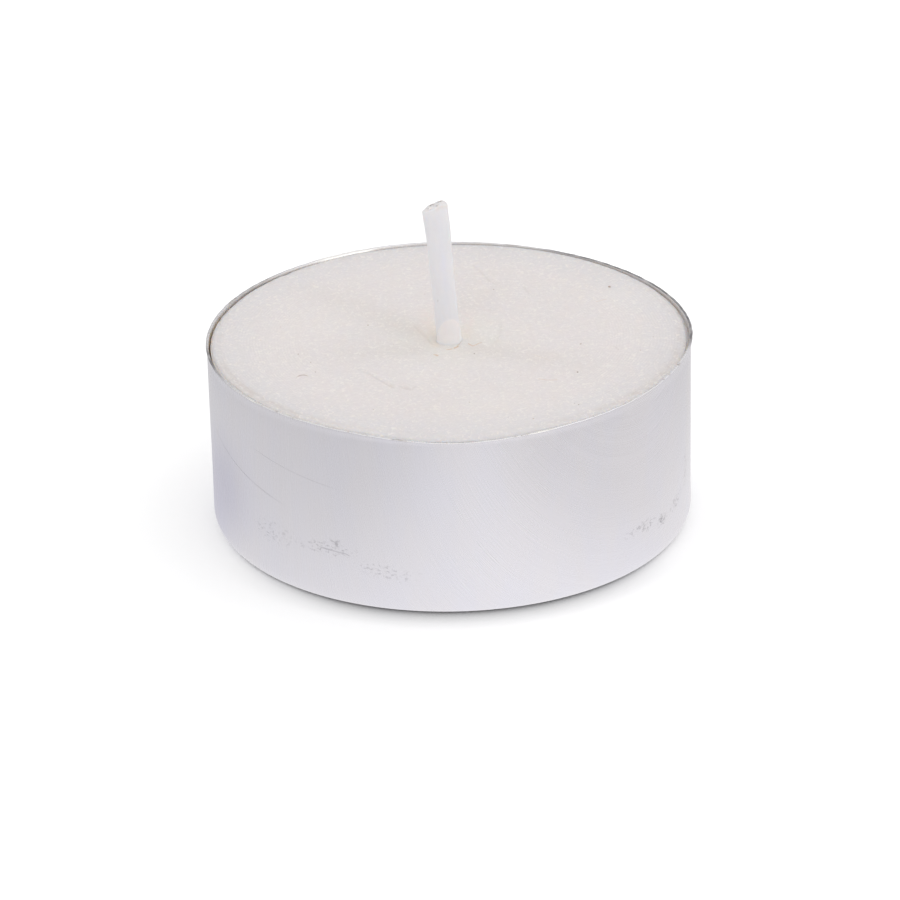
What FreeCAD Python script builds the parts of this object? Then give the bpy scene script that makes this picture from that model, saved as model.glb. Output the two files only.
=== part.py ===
import FreeCAD, Part
import math
import os

# Tea light candle: a cup drawn from thin aluminium sheet, a pressed wax body that stands loose in it,
# a waxed wick up the middle of the wax, and the thin steel sustainer that holds the wick's foot.
# Millimetres, +Z up. The origin is the middle of the cup's foot, on the plane that the candle stands on,
# and -Y is the candle's front. Angles round the cup are in degrees, from +X towards +Y.

# Cup
rim_diameter = 38.0
cup_height = 15.1
sheet_thickness = 0.2
rim_flare = 0.1
rim_flare_height = 0.6
foot_corner_radius = 1.4
foot_ring_width = 2.2
panel_rise = 0.3
panel_step_run = 0.6

# The rim is trimmed unevenly: it dips at the front and stands a little higher on the right
rim_dip_depth = 0.47
rim_dip_angle = -89.0
rim_dip_spread = 14.0
rim_ear_height = 0.4
rim_ear_angle = -16.0
rim_ear_spread = 17.0
rim_trim_step = 10

# Wax
wax_below_rim = 0.17
wax_side_gap = 0.3
wax_slide = 0.2
wax_slide_angle = 107.0
wax_draft = 0.05
wax_edge_bevel = 0.25
wax_hole_clearance = 0.05
wax_hole_chamfer = 0.15
wax_pocket_clearance = 0.15

# Wick
wick_diameter = 1.9
wick_rise = 11.17
wick_lean = 4.7
wick_bend_radius = 5.0
wick_bend_depth = 0.2
wick_cut_angle = 26.4
wick_cut_tilt = 11.0

# Sustainer
sustainer_diameter = 12.7
sustainer_thickness = 0.25
collar_height = 3.0
collar_wall = 0.25
collar_root_bevel = 0.2
collar_clearance = 0.03

# Sizes that follow from those above
rim_radius = rim_diameter / 2
wall_radius = rim_radius - rim_flare
flare_base = cup_height - rim_flare_height
flare_slope = rim_flare / rim_flare_height
corner_centre = wall_radius - foot_corner_radius
step_foot = corner_centre - foot_ring_width
step_head = step_foot - panel_step_run
step_mitre = math.tan(math.atan2(panel_rise, panel_step_run) / 2)
floor = panel_rise + sheet_thickness
wax_top = cup_height - wax_below_rim
wax_top_radius = wall_radius - sheet_thickness - wax_side_gap
wax_foot_radius = wax_top_radius - wax_draft
wax_foot_bevel = foot_corner_radius
wick_radius = wick_diameter / 2
bore_radius = wick_radius + collar_clearance
collar_radius = bore_radius + collar_wall
slide_x = wax_slide * math.cos(math.radians(wax_slide_angle))
slide_y = wax_slide * math.sin(math.radians(wax_slide_angle))

vector = FreeCAD.Vector
up = vector(0, 0, 1)
candle_axis = vector(slide_x, slide_y, 0)


def line(x1, z1, x2, z2):
    """Straight edge in the XZ plane."""
    return Part.LineSegment(vector(x1, 0, z1), vector(x2, 0, z2)).toShape()


def arc(x, z, radius, start, end):
    """Arc in the XZ plane about (x, z), from one angle in degrees to another."""
    turns = [math.radians(angle) for angle in (start, (start + end) / 2, end)]
    points = [vector(x + radius * math.cos(turn), 0, z + radius * math.sin(turn)) for turn in turns]
    return Part.Arc(*points).toShape()


def outline(*corners):
    """Straight edges from each (x, z) corner to the next."""
    return [line(*first, *second) for first, second in zip(corners, corners[1:])]


def turned(edges):
    """Solid of revolution about Z from a closed outline in the XZ plane."""
    return Part.Face(Part.Wire(edges)).revolve(vector(0, 0, 0), up, 360)


def cup_form(inset, top):
    """Solid inside the cup's outer skin moved inwards by inset, with a flat top at height top."""
    lip_radius = wall_radius - inset + flare_slope * (top - flare_base)
    mitre = inset * step_mitre
    base = outline(
        (0, panel_rise + inset),
        (step_head + mitre, panel_rise + inset),
        (step_foot + mitre, inset),
        (corner_centre, inset),
    )
    corner = arc(corner_centre, foot_corner_radius, foot_corner_radius - inset, -90, 0)
    side = outline(
        (wall_radius - inset, foot_corner_radius),
        (wall_radius - inset, flare_base),
        (lip_radius, top),
        (0, top),
        (0, panel_rise + inset),
    )
    return turned(base + [corner] + side)


def swell(angle, middle, spread):
    """Smooth bump of height 1 about a middle angle, in degrees."""
    away = (angle - middle + 180) % 360 - 180
    return math.exp(-0.5 * (away / spread) ** 2)


def rim_height(angle):
    """Height of the trimmed rim at an angle round the cup."""
    dip = rim_dip_depth * swell(angle, rim_dip_angle, rim_dip_spread)
    ear = rim_ear_height * swell(angle, rim_ear_angle, rim_ear_spread)
    return cup_height - dip + ear


def rim_loop(radius):
    """Closed smooth curve at one radius that follows the trimmed rim's height."""
    points = []
    for angle in range(0, 360, rim_trim_step):
        turn = math.radians(angle)
        points.append(vector(radius * math.cos(turn), radius * math.sin(turn), rim_height(angle)))
    curve = Part.BSplineCurve()
    curve.interpolate(Points=points, PeriodicFlag=True)
    return curve.toShape()


def rim_offcut(reach):
    """Ring of space above the trimmed rim, reaching to each side of the wall."""
    surface = Part.makeRuledSurface(rim_loop(rim_radius - reach), rim_loop(rim_radius + reach))
    return surface.extrude(up * reach)


def make_cup():
    """One-piece drawn cup: raised base panel, rounded foot, straight wall and uneven flared rim."""
    stock_top = cup_height + rim_ear_height + rim_flare_height
    shell = cup_form(0, stock_top).cut(cup_form(sheet_thickness, stock_top + rim_flare_height))
    reach = rim_dip_depth + rim_ear_height + 2 * rim_flare_height
    return shell.cut(rim_offcut(reach))


def make_wax():
    """Pressed wax with a wick hole and, underneath, a pocket over the sustainer."""
    hole = wick_radius + wax_hole_clearance
    collar_pocket = collar_radius + collar_root_bevel + wax_pocket_clearance
    collar_pocket_top = floor + collar_height + wax_pocket_clearance
    disc_pocket = sustainer_diameter / 2 + wax_pocket_clearance
    disc_pocket_top = floor + sustainer_thickness + wax_pocket_clearance
    edges = outline(
        (disc_pocket, floor),
        (wax_foot_radius - wax_foot_bevel, floor),
        (wax_foot_radius, floor + wax_foot_bevel),
        (wax_top_radius, wax_top - wax_edge_bevel),
        (wax_top_radius - wax_edge_bevel, wax_top),
        (hole + wax_hole_chamfer, wax_top),
        (hole, wax_top - wax_hole_chamfer),
        (hole, collar_pocket_top),
        (collar_pocket, collar_pocket_top),
        (collar_pocket, disc_pocket_top),
        (disc_pocket, disc_pocket_top),
        (disc_pocket, floor),
    )
    return turned(edges).translated(candle_axis)


def make_wick():
    """Waxed wick, upright in the wax, leaning left above it, cut on a slant that also falls to the back."""
    bend_start = wax_top - wick_bend_depth
    lean = math.radians(wick_lean)
    bend_end = vector(wick_bend_radius * (math.cos(lean) - 1), 0, bend_start + wick_bend_radius * math.sin(lean))
    heading = vector(-math.sin(lean), 0, math.cos(lean))
    tip_run = (wax_top + wick_rise - bend_end.z) / heading.z
    tip = bend_end + heading * tip_run
    upright = Part.LineSegment(vector(0, 0, floor), vector(0, 0, bend_start)).toShape()
    bend = arc(-wick_bend_radius, bend_start, wick_bend_radius, 0, wick_lean)
    leaning = Part.LineSegment(bend_end, tip + heading * wick_diameter).toShape()
    section = Part.Wire(Part.makeCircle(wick_radius, vector(0, 0, floor), up))
    length = Part.Wire([upright, bend, leaning]).makePipeShell([section], True, False)
    slant = math.radians(wick_cut_angle)
    tilt = math.radians(wick_cut_tilt)
    level_facing = vector(-math.sin(slant), 0, math.cos(slant))
    cut_across = vector(math.cos(slant), 0, math.sin(slant))
    cut_facing = level_facing * math.cos(tilt) + vector(0, 1, 0) * math.sin(tilt)
    cut_back = cut_facing.cross(cut_across)
    half = 2 * wick_diameter
    corner = tip - cut_across * half - cut_back * half
    offcut = Part.makePlane(2 * half, 2 * half, corner, cut_facing, cut_across).extrude(cut_facing * half)
    return length.cut(offcut).translated(candle_axis)


def make_wick_sustainer():
    """Thin stamped disc on the cup's floor, with a collar drawn up round the wick's foot."""
    disc_top = floor + sustainer_thickness
    edges = outline(
        (collar_radius, disc_top + collar_root_bevel),
        (collar_radius, floor + collar_height),
        (bore_radius, floor + collar_height),
        (bore_radius, floor),
        (sustainer_diameter / 2, floor),
        (sustainer_diameter / 2, disc_top),
        (collar_radius + collar_root_bevel, disc_top),
        (collar_radius, disc_top + collar_root_bevel),
    )
    return turned(edges).translated(candle_axis)


def main():
    """Build each piece and write it to its own file."""
    pieces = {
        "cup": make_cup(),
        "wax": make_wax(),
        "wick": make_wick(),
        "wick_sustainer": make_wick_sustainer(),
    }
    os.makedirs("parts", exist_ok=True)
    for name, shape in pieces.items():
        shape.exportStep("parts/" + name + ".step")
        print(name, shape.ShapeType, shape.isValid(), round(shape.Volume, 2), shape.BoundBox)


main()
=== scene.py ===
"""Tea light candle: a drawn aluminium cup, a cake of pressed wax and a waxed wick.

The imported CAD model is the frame. The cup, the wax and the wick get detailed pieces that stand in the
same places, and the sustainer under the wax keeps its CAD mesh with a steel finish.

Sizes are in millimetres in the frame's axes, and meshes are written in metres. The origin is the middle
of the cup's foot, +Z is up and -Y is the candle's front. Angles round the cup are in degrees, from +X
towards +Y.
"""
import logging
import math
from dataclasses import dataclass, field
from enum import Enum
from typing import Any, Sequence

import bpy
import numpy as np
from mathutils import Matrix, Vector


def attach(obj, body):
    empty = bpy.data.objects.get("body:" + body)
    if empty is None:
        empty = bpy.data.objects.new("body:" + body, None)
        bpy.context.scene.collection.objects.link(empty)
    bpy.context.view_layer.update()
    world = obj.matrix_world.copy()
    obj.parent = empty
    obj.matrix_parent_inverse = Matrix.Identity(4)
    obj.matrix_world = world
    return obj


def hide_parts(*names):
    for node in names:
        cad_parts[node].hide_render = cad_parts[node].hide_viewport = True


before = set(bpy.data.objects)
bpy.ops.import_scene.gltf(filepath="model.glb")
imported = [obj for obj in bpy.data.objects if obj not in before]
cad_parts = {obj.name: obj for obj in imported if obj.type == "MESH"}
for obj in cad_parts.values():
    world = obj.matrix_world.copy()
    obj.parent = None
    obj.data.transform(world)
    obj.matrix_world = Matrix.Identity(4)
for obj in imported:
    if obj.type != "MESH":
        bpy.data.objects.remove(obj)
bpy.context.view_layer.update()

MM = 0.001
BODY = "root"
RING_PITCH = 0.235
BACKWARD = np.array([0.0, 1.0, 0.0])
log = logging.getLogger("tea_light")

Colour = tuple[float, float, float]
Place = tuple[float, float]
Bump = tuple[float, float, float]
Plateau = tuple[float, float, float, float]


class Slot(Enum):
    """Material slots of the record."""

    CUP = "cup_aluminium"
    WAX = "candle_wax"
    WICK = "waxed_wick"
    STEEL = "sustainer_steel"


class Output(Enum):
    """Nodes that a node sheet can end in."""

    MATERIAL = "OutputMaterial"
    WORLD = "OutputWorld"


def smooth_step(value: np.ndarray, low: float, high: float) -> np.ndarray:
    """Smooth climb from 0 at low to 1 at high."""
    share = np.clip((value - low) / (high - low), 0.0, 1.0)
    return share * share * (3.0 - 2.0 * share)


def swell(angle: np.ndarray, middle: float, spread: float) -> np.ndarray:
    """Smooth bump of height 1 about a middle angle."""
    away = (angle - middle + 180.0) % 360.0 - 180.0
    return np.exp(-0.5 * (away / spread) ** 2)


def swells(angle: np.ndarray, bumps: Sequence[Bump]) -> np.ndarray:
    """Sum of smooth bumps, each given by its middle, spread and height."""
    return sum(height * swell(angle, middle, spread) for middle, spread, height in bumps)


def between(value: np.ndarray, bounds: Plateau) -> np.ndarray:
    """Smooth plateau, given by where its rise starts and ends and where its fall starts and ends."""
    return smooth_step(value, bounds[0], bounds[1]) * smooth_step(value, bounds[3], bounds[2])


def along(x: np.ndarray, y: np.ndarray, start: Place, end: Place) -> tuple[np.ndarray, np.ndarray]:
    """Where points lie beside a straight stroke.

    Args:
        x: X of the points.
        y: Y of the points.
        start: First end of the stroke.
        end: Second end of the stroke.

    Returns:
        Share of the way along the stroke, from 0 to 1, and the signed distance from it (left is positive).
    """
    run_x = end[0] - start[0]
    run_y = end[1] - start[1]
    length = math.hypot(run_x, run_y)
    share = ((x - start[0]) * run_x + (y - start[1]) * run_y) / length**2
    held = np.clip(share, 0.0, 1.0)
    off_x = x - start[0] - held * run_x
    off_y = y - start[1] - held * run_y
    side = np.sign(run_x * off_y - run_y * off_x)
    return held, side * np.hypot(off_x, off_y)


@dataclass
class GrainField:
    """Seeded smooth noise on a plane, from -1 to 1."""

    seed: int
    size: int = 256

    def __post_init__(self) -> None:
        """Draw the lattice of random heights."""
        self.lattice = np.random.default_rng(self.seed).uniform(-1.0, 1.0, (self.size, self.size))

    def layer(self, x: np.ndarray, y: np.ndarray, pitch: float) -> np.ndarray:
        """One layer of noise.

        Args:
            x: X of the points.
            y: Y of the points.
            pitch: Distance between the lattice's points.

        Returns:
            Noise at each point.
        """
        u = x / pitch
        v = y / pitch
        column = np.floor(u).astype(int)
        row = np.floor(v).astype(int)
        part_u = u - column
        part_v = v - row
        part_u = part_u**3 * (part_u * (6.0 * part_u - 15.0) + 10.0)
        part_v = part_v**3 * (part_v * (6.0 * part_v - 15.0) + 10.0)
        left = column % self.size
        right = (column + 1) % self.size
        low = row % self.size
        high = (row + 1) % self.size
        lower = self.lattice[low, left] * (1.0 - part_u) + self.lattice[low, right] * part_u
        upper = self.lattice[high, left] * (1.0 - part_u) + self.lattice[high, right] * part_u
        return lower * (1.0 - part_v) + upper * part_v

    def fractal(self, x: np.ndarray, y: np.ndarray, pitch: float, layers: int) -> np.ndarray:
        """Several layers of noise, each half as coarse and half as strong as the one before.

        Args:
            x: X of the points.
            y: Y of the points.
            pitch: Distance between the first lattice's points.
            layers: Number of layers.

        Returns:
            Noise at each point.
        """
        total = np.zeros(np.broadcast(x, y).shape)
        for step in range(layers):
            shift = 37.3 * step
            total = total + self.layer(x + shift, y - shift, pitch / 2**step) / 2**step
        return total


@dataclass
class RingNoise:
    """Seeded wobble that runs round a circle and closes on itself."""

    seed: int
    lowest: int
    highest: int
    falloff: float = 0.0

    def at(self, angle: np.ndarray) -> np.ndarray:
        """Wobble at angles round the circle.

        Args:
            angle: Angles in degrees.

        Returns:
            Wobble with a standard size of about 1.
        """
        draw = np.random.default_rng(self.seed)
        turn = np.radians(angle)
        total = np.zeros_like(turn)
        power = 0.0
        for count in range(self.lowest, self.highest + 1):
            size = draw.normal() / count**self.falloff
            phase = draw.uniform(0.0, 2.0 * math.pi)
            total = total + size * np.cos(count * turn + phase)
            power += 0.5 / count ** (2.0 * self.falloff)
        return total / math.sqrt(power)


class Lathe:
    """Builds meshes from rings of points."""

    @staticmethod
    def signed_volume(points: np.ndarray, faces: Sequence[Sequence[int]]) -> float:
        """Volume inside a closed surface, negative where its faces point inwards.

        Args:
            points: Corners.
            faces: Corner numbers of each face.

        Returns:
            Signed volume.
        """
        total = 0.0
        by_size: dict[int, list[Sequence[int]]] = {}
        for face in faces:
            by_size.setdefault(len(face), []).append(face)
        for size, group in by_size.items():
            corners = points[np.array(group)]
            for step in range(1, size - 1):
                cross = np.cross(corners[:, step], corners[:, step + 1])
                total += float((corners[:, 0] * cross).sum()) / 6.0
        return total

    @staticmethod
    def object_from(name: str, points: np.ndarray, faces: list[tuple[int, ...]]) -> bpy.types.Object:
        """Smooth-shaded object from points in millimetres, with its faces turned outwards.

        Args:
            name: Name of the object.
            points: Corners in millimetres.
            faces: Corner numbers of each face.

        Returns:
            The new object, in the scene.
        """
        if Lathe.signed_volume(points, faces) < 0.0:
            faces = [tuple(reversed(face)) for face in faces]
        mesh = bpy.data.meshes.new(name)
        mesh.from_pydata((points * MM).tolist(), [], faces)
        mesh.validate()
        mesh.polygons.foreach_set("use_smooth", np.ones(len(mesh.polygons), dtype=bool))
        mesh.update()
        piece = bpy.data.objects.new(name, mesh)
        bpy.context.scene.collection.objects.link(piece)
        return piece

    @staticmethod
    def ring_faces(rows: int, columns: int, first: int = 0) -> list[tuple[int, ...]]:
        """Quads between closed rings that are stored one after the other.

        Args:
            rows: Number of rings.
            columns: Points in each ring.
            first: Number of the first ring's first point.

        Returns:
            Corner numbers of each quad.
        """
        row, column = np.meshgrid(np.arange(rows - 1), np.arange(columns), indexing="ij")
        ahead = (column + 1) % columns
        start = first + row * columns
        above = start + columns
        quads = np.stack([start + column, start + ahead, above + ahead, above + column], -1)
        return [tuple(quad) for quad in quads.reshape(-1, 4).tolist()]

    @staticmethod
    def fan(centre: int, first: int, columns: int, forward: bool) -> list[tuple[int, ...]]:
        """Triangles that close a ring to one centre point.

        Args:
            centre: Number of the centre point.
            first: Number of the ring's first point.
            columns: Points in the ring.
            forward: True where the ring runs the way of the triangles.

        Returns:
            Corner numbers of each triangle.
        """
        faces = []
        for column in range(columns):
            here = first + column
            ahead = first + (column + 1) % columns
            faces.append((centre, here, ahead) if forward else (centre, ahead, here))
        return faces

    @staticmethod
    def closed_faces(rows: int, columns: int, first: int, start: int, end: int) -> list[tuple[int, ...]]:
        """Quads between closed rings, with the first and the last ring each closed to a point.

        Args:
            rows: Number of rings.
            columns: Points in each ring.
            first: Number of the first ring's first point.
            start: Number of the point that closes the first ring.
            end: Number of the point that closes the last ring.

        Returns:
            Corner numbers of each face.
        """
        faces = Lathe.ring_faces(rows, columns, first)
        faces += Lathe.fan(start, first, columns, False)
        faces += Lathe.fan(end, first + (rows - 1) * columns, columns, True)
        return faces


class NodeSheet:
    """Node tree with short calls that add nodes and join them."""

    def __init__(self, tree: bpy.types.NodeTree) -> None:
        """Start from an empty tree."""
        self.tree = tree
        self.tree.nodes.clear()

    @classmethod
    def for_material(cls, name: str) -> tuple["NodeSheet", bpy.types.Material]:
        """New material and its sheet.

        Args:
            name: Name of the material.

        Returns:
            The sheet and the material.
        """
        material = bpy.data.materials.new(name)
        material.use_nodes = True
        return cls(material.node_tree), material

    def add(self, kind: str, **settings: Any) -> bpy.types.Node:
        """Add a node.

        Args:
            kind: Type name of the node, without its ShaderNode prefix.
            **settings: Properties to set on the node.

        Returns:
            The new node.
        """
        node = self.tree.nodes.new("ShaderNode" + kind)
        for key, value in settings.items():
            setattr(node, key, value)
        return node

    def feed(self, socket: bpy.types.NodeSocket, value: Any) -> None:
        """Join another node's output to a socket, or set the socket's value.

        Args:
            socket: Input socket.
            value: Output socket, or a value.
        """
        if isinstance(value, bpy.types.NodeSocket):
            self.tree.links.new(value, socket)
        elif isinstance(value, tuple) and len(value) == 3 and socket.type == "RGBA":
            socket.default_value = (*value, 1.0)
        else:
            socket.default_value = value

    def join(self, kind: str, *values: Any, **settings: Any) -> bpy.types.NodeSocket:
        """Add a node and feed its inputs in order.

        Args:
            kind: Type name of the node, without its ShaderNode prefix.
            *values: Values or sockets for its first inputs.
            **settings: Properties to set on the node.

        Returns:
            The node's first output.
        """
        node = self.add(kind, **settings)
        for socket, value in zip(node.inputs, values):
            self.feed(socket, value)
        return node.outputs[0]

    def math(self, operation: str, *values: Any, clamp: bool = False) -> bpy.types.NodeSocket:
        """Result of one sum on numbers, held between 0 and 1 where clamp is True."""
        return self.join("Math", *values, operation=operation, use_clamp=clamp)

    def vector(self, operation: str, *values: Any) -> bpy.types.NodeSocket:
        """One sum on vectors.

        Args:
            operation: Name of the operation.
            *values: Vectors or sockets.

        Returns:
            Socket with the result.
        """
        node = self.add("VectorMath", operation=operation)
        for socket, value in zip(node.inputs, values):
            self.feed(socket, value)
        return node.outputs["Value" if operation in ("LENGTH", "DOT_PRODUCT") else "Vector"]

    def combine(self, x: Any, y: Any, z: Any) -> bpy.types.NodeSocket:
        """Vector from three numbers."""
        return self.join("CombineXYZ", x, y, z)

    def parts(self, vector: bpy.types.NodeSocket) -> tuple[bpy.types.NodeSocket, ...]:
        """The three numbers of a vector."""
        node = self.add("SeparateXYZ")
        self.feed(node.inputs[0], vector)
        return tuple(node.outputs)

    def place_mm(self) -> bpy.types.NodeSocket:
        """Place on the object in millimetres."""
        coordinates = self.add("TexCoord").outputs["Object"]
        node = self.add("VectorMath", operation="SCALE")
        self.feed(node.inputs[0], coordinates)
        node.inputs["Scale"].default_value = 1.0 / MM
        return node.outputs[0]

    def noise(self, vector: Any, scale: float, detail: float = 2.0, roughness: float = 0.5,
              distortion: float = 0.0) -> bpy.types.NodeSocket:
        """Noise from 0 to 1, about 0.5.

        Args:
            vector: Place socket.
            scale: Number of lumps to a unit.
            detail: Finer layers.
            roughness: Strength of the finer layers.
            distortion: Twist of the pattern.

        Returns:
            Socket with the noise.
        """
        node = self.add("TexNoise")
        self.feed(node.inputs["Vector"], vector)
        node.inputs["Scale"].default_value = scale
        node.inputs["Detail"].default_value = detail
        node.inputs["Roughness"].default_value = roughness
        node.inputs["Distortion"].default_value = distortion
        return node.outputs["Fac"]

    def remap(self, value: Any, low: float, high: float, to_low: float = 0.0,
              to_high: float = 1.0) -> bpy.types.NodeSocket:
        """Smooth change from to_low, where the value is low, to to_high, where it is high.

        Args:
            value: Socket to grade.
            low: Value at the start.
            high: Value at the end.
            to_low: Result at the start.
            to_high: Result at the end.

        Returns:
            Socket with the result.
        """
        bounds = (low, high, to_low, to_high) if low < high else (high, low, to_high, to_low)
        return self.join("MapRange", value, *bounds, interpolation_type="SMOOTHSTEP")

    def blend(self, share: Any, first: Any, second: Any, mode: str = "MIX") -> bpy.types.NodeSocket:
        """Mix two colours.

        Args:
            share: Share of the second colour.
            first: First colour.
            second: Second colour.
            mode: Way of mixing.

        Returns:
            Socket with the colour.
        """
        node = self.add("Mix", data_type="RGBA", blend_type=mode)
        self.feed(node.inputs["Factor"], share)
        self.feed(node.inputs[6], first)
        self.feed(node.inputs[7], second)
        return node.outputs[2]

    def attribute(self, name: str) -> bpy.types.NodeSocket:
        """Number that a mesh carries at its points."""
        return self.add("Attribute", attribute_name=name).outputs["Fac"]

    def bump(self, height: Any, distance: float, strength: float) -> bpy.types.NodeSocket:
        """Normal bent by a height.

        Args:
            height: Height socket.
            distance: Height of 1 in metres.
            strength: Share of the bending that shows.

        Returns:
            Socket with the normal.
        """
        node = self.add("Bump")
        node.inputs["Strength"].default_value = strength
        node.inputs["Distance"].default_value = distance
        self.feed(node.inputs["Height"], height)
        return node.outputs[0]

    def lighten(self, colour: Any, light: Any) -> bpy.types.NodeSocket:
        """Colour times a lightness."""
        return self.blend(1.0, colour, self.combine(light, light, light), "MULTIPLY")

    def cover(self, colour: Any, layers: Sequence[tuple[str, Any]]) -> bpy.types.NodeSocket:
        """Colour with further tones on top, each where the mesh carries its number.

        Args:
            colour: Colour underneath.
            layers: Name of the number and tone of each layer, from the lowest upwards.

        Returns:
            Socket with the colour.
        """
        for name, tone in layers:
            colour = self.blend(self.attribute(name), colour, tone)
        return colour

    def strongest(self, strengths: Sequence[Any]) -> Any:
        """Greatest of several strengths, from 0 upwards.

        Args:
            strengths: Sockets.

        Returns:
            Socket with the greatest.
        """
        total: Any = 0.0
        for strength in strengths:
            total = self.math("MAXIMUM", total, strength)
        return total

    def principled(self, values: dict[str, Any]) -> None:
        """End a material in the Principled shader.

        Args:
            values: Value or socket for each named input.
        """
        shader = self.add("BsdfPrincipled")
        for name, value in values.items():
            self.feed(shader.inputs[name], value)
        self.finish(shader.outputs[0])

    def finish(self, shader: bpy.types.NodeSocket, output: Output = Output.MATERIAL) -> None:
        """Join the last shader to the sheet's output."""
        self.feed(self.add(output.value).inputs["Surface"], shader)


@dataclass(frozen=True)
class ScuffPatch:
    """Oval patch of small scuffs on the cup's wall, in millimetres round and up the wall."""

    round_way: float
    height: float
    half_width: float
    half_height: float
    slope: float
    threshold: float
    strength: float

    def strength_at(self, sheet: NodeSheet, round_way: Any, height: Any, bits: Any) -> bpy.types.NodeSocket:
        """Strength of the patch.

        Args:
            sheet: Node sheet to work on.
            round_way: Distance round the wall.
            height: Height up the wall.
            bits: Noise that the scuffs are cut from.

        Returns:
            Socket from 0 to the patch's strength.
        """
        across = sheet.math("SUBTRACT", round_way, self.round_way)
        level = sheet.math("SUBTRACT", height, sheet.math("MULTIPLY_ADD", across, self.slope, self.height))
        far = sheet.vector("LENGTH", sheet.combine(
            sheet.math("DIVIDE", across, self.half_width),
            sheet.math("DIVIDE", level, self.half_height),
            0.0,
        ))
        inside = sheet.remap(far, 1.15, 0.2)
        cut = sheet.math("ADD", bits, sheet.math("MULTIPLY_ADD", inside, 0.10, -0.10))
        spots = sheet.remap(cut, self.threshold - 0.05, self.threshold + 0.05)
        return sheet.math("MULTIPLY", sheet.math("MULTIPLY", spots, inside), self.strength)


@dataclass(frozen=True)
class ScratchLine:
    """Fine curved scratch on the cup's wall, in millimetres round and up the wall."""

    round_way: float
    height: float
    slope: float
    bend: float
    half_length: float
    half_width: float
    strength: float

    def strength_at(self, sheet: NodeSheet, round_way: Any, height: Any, place: Any) -> bpy.types.NodeSocket:
        """Strength of the scratch.

        Args:
            sheet: Node sheet to work on.
            round_way: Distance round the wall.
            height: Height up the wall.
            place: Place in millimetres.

        Returns:
            Socket from 0 to the scratch's strength.
        """
        across = sheet.math("SUBTRACT", round_way, self.round_way)
        curve = sheet.math("MULTIPLY_ADD", sheet.math("MULTIPLY", across, across), self.bend,
                           sheet.math("MULTIPLY_ADD", across, self.slope, self.height))
        off = sheet.math("ABSOLUTE", sheet.math("SUBTRACT", height, curve))
        line = sheet.remap(off, self.half_width * 1.6, self.half_width * 0.3)
        length = sheet.remap(sheet.math("ABSOLUTE", across), self.half_length, self.half_length * 0.6)
        broken = sheet.remap(sheet.noise(place, 1.3, 2.0, 0.6), 0.32, 0.6, 0.7, 1.0)
        return sheet.math("MULTIPLY", sheet.math("MULTIPLY", line, length),
                          sheet.math("MULTIPLY", broken, self.strength))


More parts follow.
